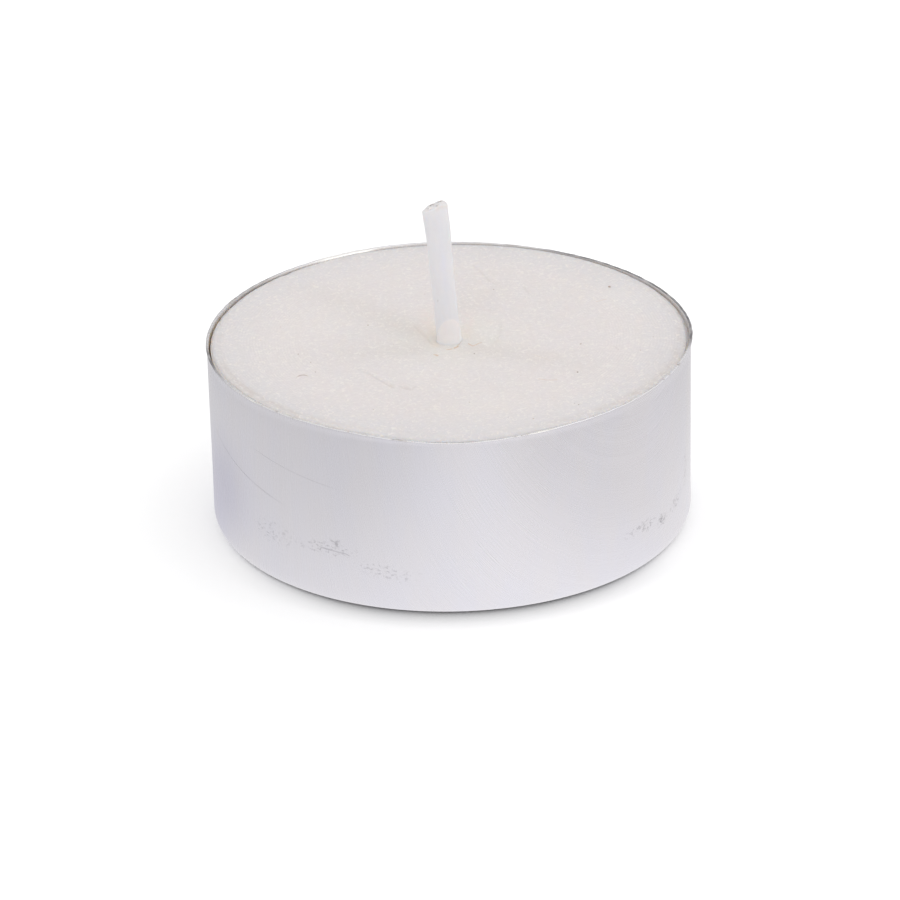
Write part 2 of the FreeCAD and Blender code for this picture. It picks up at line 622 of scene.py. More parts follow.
@dataclass(frozen=True)
class SatinAluminium:
    """Bare rolled aluminium sheet, drawn into a cup: satin, with the rolling grain bent by the drawing."""

    tone: Colour = (0.815, 0.796, 0.845)
    inside_tone: Colour = (0.84, 0.81, 0.79)
    edge_tone: Colour = (0.91, 0.895, 0.905)
    edge_dark_tone: Colour = (0.60, 0.56, 0.54)
    # Painted highlight on the rim's trimmed edge and on the inside wall's top at the back.
    highlight_tone: Colour = (1.00, 0.98, 0.95)
    # Painted shade on the rim's trimmed edge and on the inside wall's top.
    painted_shade_tone: Colour = (0.24, 0.228, 0.24)
    scuff_tone: Colour = (0.30, 0.29, 0.31)
    roughness: float = 0.27
    anisotropy: float = 0.45
    wall_radius: float = 18.9
    scuffs: tuple[ScuffPatch, ...] = (
        ScuffPatch(-10.2, 4.8, 3.9, 0.85, 0.04, 0.56, 0.42),
        ScuffPatch(-9.4, 5.4, 0.7, 0.45, 0.0, 0.46, 0.45),
        ScuffPatch(-5.2, 3.65, 3.4, 1.0, -0.08, 0.56, 0.34),
        ScuffPatch(17.0, 3.95, 3.2, 0.75, 0.0, 0.56, 0.40),
        ScuffPatch(19.5, 3.55, 1.0, 0.7, 0.0, 0.515, 0.62),
        ScuffPatch(22.0, 3.9, 1.8, 0.9, 0.25, 0.54, 0.45),
        ScuffPatch(24.6, 5.6, 0.9, 2.2, 0.0, 0.57, 0.35),
        ScuffPatch(-15.6, 4.7, 3.6, 1.7, 0.0, 0.575, 0.26),
    )
    scratches: tuple[ScratchLine, ...] = (
        ScratchLine(-9.6, 4.72, -0.05, 0.0, 1.5, 0.06, 0.40),
        ScratchLine(-19.75, 8.52, -0.236, 0.006, 6.2, 0.032, 0.40),
        ScratchLine(-13.4, 10.50, -0.126, 0.002, 4.8, 0.030, 0.24),
    )

    def material(self) -> bpy.types.Material:
        """Material of the cup.

        Returns:
            The material.
        """
        sheet, material = NodeSheet.for_material("satin_aluminium")
        place = sheet.place_mm()
        x, y, z = sheet.parts(place)
        blank = sheet.add("UVMap", uv_map="blank").outputs["UV"]
        grain_u, grain_v, _ = sheet.parts(blank)
        fine = self.grain(sheet, grain_u, grain_v, 90.0, 0.022)
        coarse = self.grain(sheet, grain_u, grain_v, 60.0, 0.10)
        cloud = sheet.noise(place, 0.22, 2.0, 0.5)
        turn = sheet.math("ARCTAN2", x, sheet.math("MULTIPLY", y, -1.0))
        round_way = sheet.math("MULTIPLY", turn, self.wall_radius)
        outside = sheet.attribute("outside")
        marks = sheet.math("MULTIPLY", self.marks(sheet, round_way, z, place), outside)
        light = sheet.math("ADD", sheet.remap(fine, 0.25, 0.75, 0.984, 1.008),
                           sheet.remap(coarse, 0.25, 0.75, -0.006, 0.006))
        light = sheet.math("ADD", light, sheet.remap(cloud, 0.3, 0.7, -0.008, 0.008))
        colour = sheet.blend(outside, self.inside_tone, self.tone)
        burr = sheet.noise(sheet.vector("MULTIPLY", place, (1.0, 1.0, 0.2)), 0.9, 3.0, 0.65)
        edge = sheet.blend(sheet.remap(burr, 0.54, 0.68), self.edge_tone, self.edge_dark_tone)
        # The trimmed edge's own tone, then painted shade and a painted highlight on the rim.
        rim_tones = (("edge", edge), ("shaded", self.painted_shade_tone), ("bright", self.highlight_tone))
        colour = sheet.lighten(sheet.cover(colour, rim_tones), light)
        bands = sheet.noise(sheet.vector("MULTIPLY", place, (1.0, 1.0, 0.35)), 0.32, 3.0, 0.6)
        tint = sheet.blend(sheet.remap(bands, 0.36, 0.64), (0.994, 0.998, 1.009), (1.005, 1.001, 0.990))
        colour = sheet.blend(1.0, colour, tint, "MULTIPLY")
        colour = sheet.blend(marks, colour, self.scuff_tone)
        rough = sheet.math("ADD", sheet.remap(fine, 0.2, 0.8, self.roughness - 0.05, self.roughness + 0.06),
                           sheet.remap(cloud, 0.3, 0.7, -0.03, 0.03))
        rough = sheet.math("ADD", rough, sheet.math("MULTIPLY", marks, 0.25))
        height = sheet.math("ADD", sheet.math("MULTIPLY", fine, 0.5), sheet.math("MULTIPLY", coarse, 0.8))
        sheet.principled({
            "Base Color": colour,
            "Metallic": 1.0,
            "Roughness": rough,
            "Anisotropic": self.anisotropy,
            "Anisotropic Rotation": 0.25,
            "Tangent": sheet.add("Tangent", direction_type="UV_MAP", uv_map="blank").outputs[0],
            "Normal": sheet.bump(height, 0.0000035, 0.3),
        })
        return material

    @staticmethod
    def grain(sheet: NodeSheet, along_grain: Any, across_grain: Any, length: float,
              width: float) -> bpy.types.NodeSocket:
        """Streaks along the rolling direction of the sheet that the cup was drawn from.

        Args:
            sheet: Node sheet to work on.
            along_grain: Place along the grain, as a share of the blank.
            across_grain: Place across the grain, as a share of the blank.
            length: Length of a streak in millimetres.
            width: Width of a streak in millimetres.

        Returns:
            Socket with the streaks.
        """
        blank_size = CupShell.blank_size
        place = sheet.combine(
            sheet.math("MULTIPLY", along_grain, blank_size / length),
            sheet.math("MULTIPLY", across_grain, blank_size / width),
            width,
        )
        return sheet.noise(place, 0.35, 2.0, 0.6)

    def marks(self, sheet: NodeSheet, round_way: Any, height: Any, place: Any) -> bpy.types.NodeSocket:
        """Handling scuffs low on the front of the wall, and fine scratches on its left.

        Args:
            sheet: Node sheet to work on.
            round_way: Distance round the wall from the front, in millimetres.
            height: Height in millimetres.
            place: Place in millimetres.

        Returns:
            Socket with the strength of the marks.
        """
        bits = sheet.noise(sheet.vector("MULTIPLY", place, (1.0, 1.0, 1.7)), 2.9, 3.0, 0.65, 0.4)
        return sheet.strongest([
            *(patch.strength_at(sheet, round_way, height, bits) for patch in self.scuffs),
            *(line.strength_at(sheet, round_way, height, place) for line in self.scratches),
        ])


@dataclass(frozen=True)
class FineLine:
    """Thin straight line in the wax's top, in millimetres from the wax's middle."""

    start: Place
    end: Place
    half_width: float
    strength: float

    def strength_at(self, sheet: NodeSheet, place: Any) -> bpy.types.NodeSocket:
        """Strength of the line.

        Args:
            sheet: Node sheet to work on.
            place: Level place from the wax's middle.

        Returns:
            Socket from 0 to the line's strength.
        """
        run = (self.end[0] - self.start[0], self.end[1] - self.start[1], 0.0)
        length = math.hypot(run[0], run[1])
        unit = (run[0] / length, run[1] / length, 0.0)
        from_start = sheet.vector("SUBTRACT", place, (self.start[0], self.start[1], 0.0))
        share = sheet.math("DIVIDE", sheet.vector("DOT_PRODUCT", from_start, unit), length, clamp=True)
        nearest = sheet.vector("MULTIPLY", sheet.combine(share, share, share), run)
        off = sheet.vector("LENGTH", sheet.vector("SUBTRACT", from_start, nearest))
        return sheet.remap(off, self.half_width * 1.5, self.half_width * 0.2, 0.0, self.strength)


@dataclass(frozen=True)
class PressedWax:
    """White paraffin wax, pressed from powder: matt, faintly flecked and a little cooler at its edge."""

    tone: Colour = (0.754, 0.708, 0.700)
    warm_tone: Colour = (0.762, 0.728, 0.694)
    cool_tone: Colour = (0.722, 0.693, 0.698)
    # Painted shade in the valleys.
    valley_shade_tone: Colour = (0.684, 0.636, 0.606)
    pale_tone: Colour = (0.815, 0.778, 0.750)
    # Painted shade beside the wax's edge.
    edge_shade_tone: Colour = (0.640, 0.592, 0.572)
    fleck_tone: Colour = (0.865, 0.824, 0.780)
    # Painted warm shade deep in the gap to the cup.
    gap_shade_tone: Colour = (0.84, 0.74, 0.62)
    # Painted warm shade of the wick on the wax.
    warm_shade_tone: Colour = (0.83, 0.69, 0.55)
    blush_tone: Colour = (0.79, 0.68, 0.67)
    # Painted warm shade in the creases and cracks.
    crack_shade_tone: Colour = (0.62, 0.38, 0.20)
    # Painted shade along the folds.
    fold_shade_tone: Colour = (0.48, 0.43, 0.40)
    roughness: float = 0.58
    scatter: float = 0.0011
    # Folds, drawn as lines of painted shade.
    folds: tuple[FineLine, ...] = (
        FineLine((-7.19, -5.67), (-6.02, -6.92), 0.10, 0.09),
        FineLine((-6.02, -6.92), (-4.74, -8.85), 0.11, 0.14),
        FineLine((-4.74, -8.85), (-4.25, -9.37), 0.14, 0.16),
        FineLine((-3.75, -9.25), (-2.94, -9.79), 0.18, 0.16),
        FineLine((-2.94, -9.79), (-2.65, -9.35), 0.12, 0.13),
        FineLine((2.04, 14.52), (3.38, 11.15), 0.09, 0.13),
        FineLine((3.38, 11.15), (4.30, 9.84), 0.09, 0.07),
        FineLine((6.07, 9.76), (6.52, 8.06), 0.12, 0.13),
        FineLine((12.83, -2.30), (13.19, -3.07), 0.07, 0.18),
        FineLine((4.08, 2.64), (4.05, 0.90), 0.16, 0.07),
        FineLine((4.05, 0.90), (3.62, -1.23), 0.16, 0.09),
        FineLine((-2.72, 2.51), (-1.30, -0.95), 0.10, 0.11),
    )
    # Fine cracks, drawn only as lines of painted warm shade.
    cracks: tuple[FineLine, ...] = (
        FineLine((6.80, -8.25), (7.45, -8.50), 0.07, 0.28),
        FineLine((7.45, -8.50), (8.21, -8.52), 0.07, 0.26),
        FineLine((11.78, 6.46), (12.50, 6.88), 0.08, 0.18),
        FineLine((6.40, -3.38), (7.83, -4.73), 0.08, 0.07),
        FineLine((1.50, -1.02), (1.85, -1.46), 0.06, 0.50),
        FineLine((1.85, -1.46), (2.50, -0.97), 0.06, 0.50),
    )

    @staticmethod
    def lines(sheet: NodeSheet, x: Any, y: Any, wobble: Any, strokes: Sequence[FineLine]) -> Any:
        """Fine lines in the wax's top."""
        place = sheet.combine(sheet.math("ADD", x, wobble), sheet.math("SUBTRACT", y, wobble), 0.0)
        return sheet.strongest([stroke.strength_at(sheet, place) for stroke in strokes])

    def material(self, centre: Place, radius: float, top: float) -> bpy.types.Material:
        """Material of the wax.

        Args:
            centre: Middle of the cake in millimetres.
            radius: Radius of its top.
            top: Height of its top.

        Returns:
            The material.
        """
        sheet, material = NodeSheet.for_material("pressed_wax")
        place = sheet.place_mm()
        local = sheet.vector("SUBTRACT", place, (centre[0], centre[1], 0.0))
        x, y, z = sheet.parts(local)
        out = sheet.vector("LENGTH", sheet.combine(x, y, 0.0))
        flecks = sheet.noise(place, 3.4, 3.0, 0.62, 0.7)
        fleck_place = sheet.vector("MULTIPLY", place, (1.0, 0.8, 1.0))
        swirl = sheet.noise(fleck_place, 1.9, 1.0, 0.5, 1.1)
        worms = sheet.math("ABSOLUTE", sheet.math("SUBTRACT", swirl, 0.5))
        veins = sheet.math("MULTIPLY", sheet.remap(worms, 0.056, 0.012),
                           sheet.remap(sheet.noise(fleck_place, 3.1, 1.0, 0.5), 0.42, 0.60))
        blotch = sheet.noise(place, 2.4, 2.0, 0.55)
        cloud = sheet.noise(place, 0.16, 2.0, 0.5)
        rings = self.rings(sheet, out, x, place)
        colour = sheet.blend(sheet.remap(out, 7.5, 1.0), self.tone, self.warm_tone)
        colour = sheet.blend(sheet.remap(out, radius - 5.0, radius - 0.3), colour, self.cool_tone)
        pink = sheet.remap(blotch, 0.36, 0.64)
        tint = sheet.blend(pink, (0.999, 1.001, 0.998), (1.002, 0.998, 1.001))
        colour = sheet.blend(1.0, colour, tint, "MULTIPLY")
        light = sheet.math("ADD", sheet.remap(flecks, 0.3, 0.7, 0.970, 1.018),
                           sheet.remap(cloud, 0.35, 0.65, -0.005, 0.005))
        light = sheet.math("ADD", light, sheet.math("MULTIPLY", rings, 0.018))
        # Painted shade in the valleys and beside the edge, and paler places with painted light round the
        # wick's foot.
        pressed = (("valley", self.valley_shade_tone), ("pale", self.pale_tone), ("bevel", self.edge_shade_tone))
        colour = sheet.cover(colour, pressed)
        colour = sheet.blend(sheet.math("MULTIPLY", veins, 0.58), colour, self.fleck_tone)
        colour = sheet.lighten(colour, light)
        # A faint blush, then painted warm shade of the wick.
        colour = sheet.cover(colour, (("blush", self.blush_tone), ("stain", self.warm_shade_tone)))
        wobble = sheet.math("MULTIPLY_ADD", sheet.noise(place, 3.0, 2.0, 0.5), 0.16, -0.08)
        # Painted shade along the folds.
        colour = sheet.blend(self.lines(sheet, x, y, wobble, self.folds), colour, self.fold_shade_tone)
        # Painted warm shade in the creases and the fine cracks.
        cracked = self.lines(sheet, x, y, wobble, self.cracks)
        shaded_cracks = sheet.math("MAXIMUM", sheet.attribute("crack"), cracked)
        colour = sheet.blend(shaded_cracks, colour, self.crack_shade_tone)
        # Painted warm shade deep in the open gap to the cup.
        depth = sheet.math("SUBTRACT", top, z)
        gap_shade = sheet.math("MULTIPLY", sheet.remap(depth, 0.115, 0.19), sheet.attribute("open_gap"))
        height = sheet.math("ADD", flecks, sheet.math("MULTIPLY", rings, 0.10))
        sheet.principled({
            "Base Color": sheet.blend(gap_shade, colour, self.gap_shade_tone),
            "Roughness": sheet.remap(flecks, 0.3, 0.7, self.roughness + 0.06, self.roughness - 0.06),
            "IOR": 1.43,
            "Specular IOR Level": 0.35,
            "Subsurface Weight": 0.55,
            "Subsurface Radius": (1.0, 0.75, 0.55),
            "Subsurface Scale": self.scatter,
            "Normal": sheet.bump(height, 0.00003, 0.30),
        })
        return material

    @staticmethod
    def rings(sheet: NodeSheet, out: Any, x: Any, place: Any) -> bpy.types.NodeSocket:
        """Fine turning rings that the press left near the wax's edge, clearest at the left and right.

        Args:
            sheet: Node sheet to work on.
            out: Distance from the wax's middle.
            x: X from the wax's middle.
            place: Place in millimetres.

        Returns:
            Socket from -1 to 1.
        """
        wobble = sheet.math("MULTIPLY", sheet.noise(place, 0.5, 1.0, 0.5), 0.25)
        turns = sheet.math("MULTIPLY", sheet.math("ADD", out, wobble), 2.0 * math.pi / RING_PITCH)
        wave = sheet.math("SINE", turns)
        near_edge = sheet.remap(out, 8.0, 14.0)
        sideways = sheet.remap(sheet.math("ABSOLUTE", x), 5.0, 12.0, 0.2, 1.0)
        patchy = sheet.remap(sheet.noise(place, 0.45, 2.0, 0.5), 0.35, 0.6, 0.2, 1.0)
        return sheet.math("MULTIPLY", sheet.math("MULTIPLY", wave, near_edge),
                          sheet.math("MULTIPLY", sideways, patchy))


@dataclass(frozen=True)
class WaxedCotton:
    """Round cotton wick soaked in wax: smooth, cool white and slightly see-through."""

    tone: Colour = (0.822, 0.816, 0.838)
    streak_tone: Colour = (0.812, 0.808, 0.858)
    boot_tone: Colour = (0.872, 0.842, 0.842)
    tan_tone: Colour = (0.78, 0.73, 0.69)
    cut_tone: Colour = (0.735, 0.715, 0.720)
    cut_dark_tone: Colour = (0.36, 0.31, 0.29)
    cut_pale_tone: Colour = (0.93, 0.91, 0.91)
    speck_tone: Colour = (0.42, 0.36, 0.34)
    roughness: float = 0.52
    scatter: float = 0.0006

    def material(self) -> bpy.types.Material:
        """Material of the wick.

        Returns:
            The material.
        """
        sheet, material = NodeSheet.for_material("waxed_cotton")
        place = sheet.place_mm()
        strands = sheet.noise(sheet.vector("MULTIPLY", place, (3.0, 3.0, 0.35)), 1.0, 2.0, 0.5)
        specks = sheet.noise(place, 3.0, 2.0, 0.6)
        light = sheet.math("ADD", sheet.remap(strands, 0.3, 0.7, 0.992, 1.006),
                           sheet.remap(specks, 0.3, 0.7, -0.006, 0.006))
        waxed = (("streak", self.streak_tone), ("boot", self.boot_tone))
        colour = sheet.cover(self.tone, waxed)
        torn = sheet.noise(place, 2.6, 3.0, 0.6)
        cut = sheet.blend(sheet.remap(torn, 0.58, 0.74), self.cut_tone, self.cut_dark_tone)
        colour = sheet.cover(colour, (
            ("cut", cut),
            ("cut_dark", self.cut_dark_tone),
            ("cut_pale", self.cut_pale_tone),
            ("tan", self.tan_tone),
            ("speck", self.speck_tone),
        ))
        height = sheet.math("ADD", strands, sheet.math("MULTIPLY", specks, 0.4))
        sheet.principled({
            "Base Color": sheet.lighten(colour, light),
            "Roughness": sheet.remap(specks, 0.3, 0.7, self.roughness - 0.05, self.roughness + 0.08),
            "IOR": 1.43,
            "Specular IOR Level": 0.3,
            "Subsurface Weight": 0.5,
            "Subsurface Radius": (1.0, 0.85, 0.75),
            "Subsurface Scale": self.scatter,
            "Normal": sheet.bump(height, 0.00002, 0.35),
        })
        return material


@dataclass(frozen=True)
class TinnedSteel:
    """Thin tinned steel of the wick's sustainer, with faint stamping grain."""

    tone: Colour = (0.62, 0.61, 0.60)
    roughness: float = 0.3

    def material(self) -> bpy.types.Material:
        """Material of the sustainer.

        Returns:
            The material.
        """
        sheet, material = NodeSheet.for_material("tinned_steel")
        place = sheet.place_mm()
        grain = sheet.noise(sheet.vector("MULTIPLY", place, (0.4, 6.0, 6.0)), 1.0, 3.0, 0.6)
        cloud = sheet.noise(place, 0.6, 2.0, 0.5)
        light = sheet.math("ADD", sheet.remap(grain, 0.25, 0.75, 0.93, 1.03),
                           sheet.remap(cloud, 0.3, 0.7, -0.05, 0.05))
        sheet.principled({
            "Base Color": sheet.lighten(self.tone, light),
            "Metallic": 1.0,
            "Roughness": sheet.remap(grain, 0.2, 0.8, self.roughness - 0.06, self.roughness + 0.12),
            "Normal": sheet.bump(grain, 0.000004, 0.5),
        })
        return material


@dataclass(frozen=True)
class DarkDust:
    """Brown-grey dust that lies in the wax's surface."""

    tone: Colour = (0.36, 0.28, 0.24)
    pale_tone: Colour = (0.58, 0.47, 0.40)

    def material(self) -> bpy.types.Material:
        """Material of the specks.

        Returns:
            The material.
        """
        sheet, material = NodeSheet.for_material("dark_dust")
        place = sheet.place_mm()
        patch = sheet.noise(place, 0.7, 2.0, 0.6)
        sheet.principled({
            "Base Color": sheet.blend(sheet.remap(patch, 0.35, 0.65), self.tone, self.pale_tone),
            "Roughness": sheet.remap(sheet.noise(place, 9.0), 0.3, 0.7, 0.6, 0.85),
        })
        return material


def seat(piece: bpy.types.Object, slot: Slot, *nodes: str) -> None:
    """Let a piece ride on the candle and let it stand for CAD nodes.

    Args:
        piece: The piece.
        slot: Material slot of the record; not used.
        *nodes: CAD nodes that the piece replaces.
    """
    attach(piece, BODY)
    if nodes:
        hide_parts(*nodes)
    triangles = sum(len(face.vertices) - 2 for face in piece.data.polygons)
    log.info("%s: %d triangles, stands for %s", piece.name, triangles, ", ".join(nodes) or "no node")


def carry(piece: bpy.types.Object, name: str, values: np.ndarray) -> None:
    """Store a number at each point of a mesh."""
    store = piece.data.attributes.new(name, "FLOAT", "POINT")
    store.data.foreach_set("value", values.astype(np.float32).ravel())


@dataclass
class CupShell:
    """One-piece drawn cup: raised base panel, rounded foot, straight wall and uneven flared rim."""

    wall_radius: float = 18.9
    height: float = 15.1
    thickness: float = 0.2
    flare: float = 0.1
    flare_height: float = 0.6
    corner_radius: float = 1.4
    foot_ring_width: float = 2.2
    panel_rise: float = 0.3
    step_run: float = 0.6
    dip_depth: float = 0.47
    dip_angle: float = -89.0
    dip_spread: float = 14.0
    ear_height: float = 0.4
    ear_angle: float = -16.0
    ear_spread: float = 17.0
    columns: int = 640
    wall_rows: int = 34
    straight_top: float = 13.9
    panel_radii: tuple[float, ...] = (2.0, 5.0, 8.0, 11.0, 13.5, 14.3)
    step_softness: float = 0.25
    rolling_angle: float = -131.0
    edge_rounding: float = 0.035
    edge_steps: tuple[Place, ...] = ((0.3, 0.3), (1.0, 0.0))
    edge_wobble: float = 0.014
    wrinkle: float = 0.010
    wrinkle_depth: float = 1.3
    back_lift: Bump = (101.0, 17.0, 0.10)
    turned_in: float = 0.11
    turned_out: float = 0.045
    # Where the edge is bent, and a highlight is painted on it:
    highlight_back: Plateau = (107.0, 111.0, 121.0, 127.0)
    highlight_front: tuple[Bump, ...] = ((-68.5, 2.2, 0.75), (-142.8, 1.1, 1.0))
    # Where shade is painted on the edge and on the inside wall's top:
    shade_right: Plateau = (-16.0, -4.0, 58.0, 74.0)
    shade_left: tuple[Bump, ...] = ((193.0, 6.5, 1.00), (146.0, 9.0, 0.50), (174.0, 9.0, 0.15))
    shade_back: Bump = (80.0, 12.0, 0.14)
    shade_inside: tuple[Bump, ...] = (
        (-2.0, 5.0, 0.45), (30.0, 12.0, 0.16), (57.0, 12.0, 0.40), (146.0, 8.0, 0.38), (190.0, 7.0, 0.30),
        (174.0, 8.0, 0.12), (88.0, 13.0, 0.10),
    )
    dents: tuple[tuple[float, ...], ...] = (
        (182.0, 38.0, 3.0, 14.0, 0.080), (-4.0, 26.0, 1.0, 3.0, -0.045), (24.0, 12.0, 12.0, 15.0, 0.060),
    )
    finish: SatinAluminium = field(default_factory=SatinAluminium)
    blank_size = 80.0

    def rim_height(self, angle: np.ndarray) -> np.ndarray:
        """Height of the trimmed rim.

        Args:
            angle: Angles in degrees.

        Returns:
            Height at each angle.
        """
        dip = self.dip_depth * swell(angle, self.dip_angle, self.dip_spread)
        ear = self.ear_height * swell(angle, self.ear_angle, self.ear_spread)
        return self.height - dip + ear

    def bend_and_highlight(self, angle: np.ndarray) -> tuple[np.ndarray, np.ndarray]:
        """How strongly the trimmed edge is bent in at the back and out at the front, with a painted
        highlight.
        """
        return between(angle % 360.0, self.highlight_back), swells(angle, self.highlight_front)

    def lip_shade(self, angle: np.ndarray) -> np.ndarray:
        """Where shade is painted on the trimmed edge: at the back right, and a little at the left and at the
        back.

        Args:
            angle: Angles in degrees.

        Returns:
            Strength at each angle.
        """
        right = between((angle + 90.0) % 360.0 - 90.0, self.shade_right)
        rest = np.maximum(swells(angle, self.shade_left), swells(angle, [self.shade_back]))
        patchy = 0.85 + 0.15 * RingNoise(15, 20, 120, 0.4).at(angle)
        return np.clip(np.maximum(right, rest) * patchy, 0.0, 1.0)

    def bulge(self, angle: np.ndarray, height: np.ndarray) -> np.ndarray:
        """Slight dents that handling left in the thin wall.

        Args:
            angle: Angles in degrees.
            height: Height at each point.

        Returns:
            Radial offset in millimetres.
        """
        total = np.zeros(np.broadcast(angle, height).shape)
        for middle, spread, low, high, size in self.dents:
            total = total + size * swell(angle, middle, spread) * smooth_step(height, low, high)
        return total

    def base_profile(self, inset: float) -> list[Place]:
        """Radius and height of the base and the foot's corner, from near the middle outwards.

        Args:
            inset: Distance inside the outer skin.

        Returns:
            The profile's points.
        """
        corner_centre = self.wall_radius - self.corner_radius
        step_foot = corner_centre - self.foot_ring_width
        step_head = step_foot - self.step_run
        points = [(radius, self.panel_rise + inset) for radius in self.panel_radii]
        spread = self.step_softness
        for share in np.linspace(0.0, 1.0, 11):
            radius = step_head - spread + share * (self.step_run + 2.0 * spread) + inset * 0.24
            drop = float(smooth_step(np.array(share), 0.0, 1.0))
            points.append((radius, self.panel_rise * (1.0 - drop) + inset))
        points.append(((step_foot + corner_centre) / 2.0, inset))
        for turn in np.radians(np.linspace(-90.0, 0.0, 15)):
            reach = self.corner_radius - inset
            radius = corner_centre + reach * math.cos(turn)
            points.append((radius, self.corner_radius + reach * math.sin(turn)))
        return points

    def skin(self, inset: float, angle: np.ndarray, reach: np.ndarray, level: np.ndarray) -> np.ndarray:
        """Rings of one skin, as radius and height at each angle.

        Args:
            inset: Distance inside the outer skin.
            angle: Angle of each column.
            reach: Radial offset of the rim's edge at each column.
            level: Height of the top of the skin at each column.

        Returns:
            Array of rows, columns and (radius, height).
        """
        rows = []
        for radius, height in self.base_profile(inset):
            rows.append(np.stack([np.full_like(angle, radius), np.full_like(angle, height)], -1))
        flare_base = self.height - self.flare_height
        for height in np.linspace(self.corner_radius, self.straight_top, self.wall_rows)[1:]:
            radius = np.full_like(angle, self.wall_radius - inset)
            rows.append(np.stack([radius, np.full_like(angle, height)], -1))
        for share in np.linspace(0.0, 1.0, 9)[1:]:
            height = self.straight_top + share * (level - self.straight_top)
            flared = self.flare / self.flare_height * np.maximum(0.0, height - flare_base)
            rows.append(np.stack([self.wall_radius - inset + flared, height], -1))
        rings = np.stack(rows)
        near_rim = smooth_step(rings[..., 1], self.height - self.wrinkle_depth, self.height)
        rings[..., 0] += near_rim * reach + self.bulge(angle[None, :], rings[..., 1])
        return rings

    def blank_radius(self, rings: np.ndarray) -> np.ndarray:
        """Radius that each point had in the flat disc of sheet that the cup was drawn from.

        Args:
            rings: Rings of one skin, from the middle outwards.

        Returns:
            Radius in the blank at each point.
        """
        steps = np.diff(rings, axis=0)
        run = np.hypot(steps[..., 0], steps[..., 1])
        area = np.cumsum(run * (rings[1:, :, 0] + rings[:-1, :, 0]), axis=0)
        start = rings[:1, :, 0] ** 2
        return np.sqrt(np.concatenate([start, start + area]))

    def build(self) -> bpy.types.Object:
        """Build the cup.

        Returns:
            The object.
        """
        angle = np.arange(self.columns) * 360.0 / self.columns
        uneven = 1.0 + 0.5 * RingNoise(11, 30, 160, 0.5).at(angle)
        level = self.rim_height(angle) - self.edge_wobble * uneven + swells(angle, [self.back_lift])
        wrinkles = RingNoise(12, 28, 90, 0.3).at(angle)
        reach = -self.wrinkle * (1.5 + np.clip(wrinkles, -1.5, 1.5))
        rounding = self.edge_rounding
        bent_in, bent_out = self.bend_and_highlight(angle)
        outer_level = level - self.turned_out * bent_out
        inner_level = level - self.turned_in * bent_in
        outer = self.skin(0.0, angle, reach, outer_level - rounding)
        inner = self.skin(self.thickness, angle, reach, inner_level - rounding)
        lip_rows = []
        for inwards, drop in self.edge_steps:
            radius = outer[-1, :, 0] - rounding * inwards
            lip_rows.append(np.stack([radius, outer_level - rounding * drop], -1))
        for outwards, drop in reversed(self.edge_steps):
            radius = inner[-1, :, 0] + rounding * outwards
            lip_rows.append(np.stack([radius, inner_level - rounding * drop], -1))
        lip = np.stack(lip_rows)
        outer_blank = self.blank_radius(outer)
        inner_blank = self.blank_radius(inner)
        lip_blank = np.repeat(outer_blank[-1:], len(lip), axis=0)
        rings = np.concatenate([outer, lip, inner[::-1]])
        blank = np.concatenate([outer_blank, lip_blank, inner_blank[::-1]])
        outside = np.zeros(rings.shape[:2])
        outside[: len(outer) + 3] = 1.0
        edge = np.zeros(rings.shape[:2])
        edge[len(outer): len(outer) + len(lip)] = 1.0
        turn = np.radians(angle)[None, :]
        flat = np.stack([rings[..., 0] * np.cos(turn), rings[..., 0] * np.sin(turn), rings[..., 1]], -1)
        bottom = rings.shape[0] * self.columns
        ends = [[0.0, 0.0, self.panel_rise], [0.0, 0.0, self.panel_rise + self.thickness]]
        points = np.vstack([flat.reshape(-1, 3), ends])
        faces = Lathe.closed_faces(len(rings), self.columns, 0, bottom, bottom + 1)
        piece = Lathe.object_from("cup_shell", points, faces)
        carry(piece, "outside", np.append(outside.ravel(), [1.0, 0.0]))
        carry(piece, "edge", np.append(edge.ravel(), [0.0, 0.0]))
        # Painted highlight where the edge is bent, and on the inside wall's top rows at the back.
        highlight_strength = np.clip(bent_in + bent_out, 0.0, 1.0)[None, :] * edge
        inside_top = len(outer) + len(lip)
        highlight_strength[inside_top: inside_top + 3] = bent_in[None, :]
        carry(piece, "bright", np.append(highlight_strength.ravel(), [0.0, 0.0]))
        # Painted shade on the trimmed edge and on the inside wall's top rows.
        shade_strength = self.lip_shade(angle)[None, :] * edge
        shade_strength[inside_top: inside_top + 8] = np.clip(swells(angle, self.shade_inside), 0.0, 1.0)[None, :]
        carry(piece, "shaded", np.append(shade_strength.ravel(), [0.0, 0.0]))
        lean = np.radians(angle - self.rolling_angle)[None, :]
        blank_x = np.append((blank * np.cos(lean)).ravel(), [0.0, 0.0])
        blank_y = np.append((blank * np.sin(lean)).ravel(), [0.0, 0.0])
        corner = np.zeros(len(piece.data.loops), dtype=np.int32)
        piece.data.loops.foreach_get("vertex_index", corner)
        sheet_map = piece.data.uv_layers.new(name="blank")
        flat_map = np.stack([blank_x[corner], blank_y[corner]], -1) / self.blank_size + 0.5
        sheet_map.data.foreach_set("uv", flat_map.astype(np.float32).ravel())
        return piece

    def dress(self, piece: bpy.types.Object) -> None:
        """Give the cup its finish and let it stand for the CAD cup."""
        piece.data.materials.append(self.finish.material())
        seat(piece, Slot.CUP, "cup")


@dataclass(frozen=True)
class Valley:
    """Long shallow trough in the wax's top, in millimetres from the wax's middle."""

    start: Place
    end: Place
    start_width: float
    end_width: float
    depth: float

    def height_at(self, x: np.ndarray, y: np.ndarray) -> np.ndarray:
        """Depth of the trough below the wax's top, as a negative height.

        Args:
            x: X of the points.
            y: Y of the points.

        Returns:
            Height at each point.
        """
        share, off = along(x, y, self.start, self.end)
        width = self.start_width + share * (self.end_width - self.start_width)
        return -self.depth * np.exp(-0.5 * (off / width) ** 2) * (1.0 - 0.75 * share)


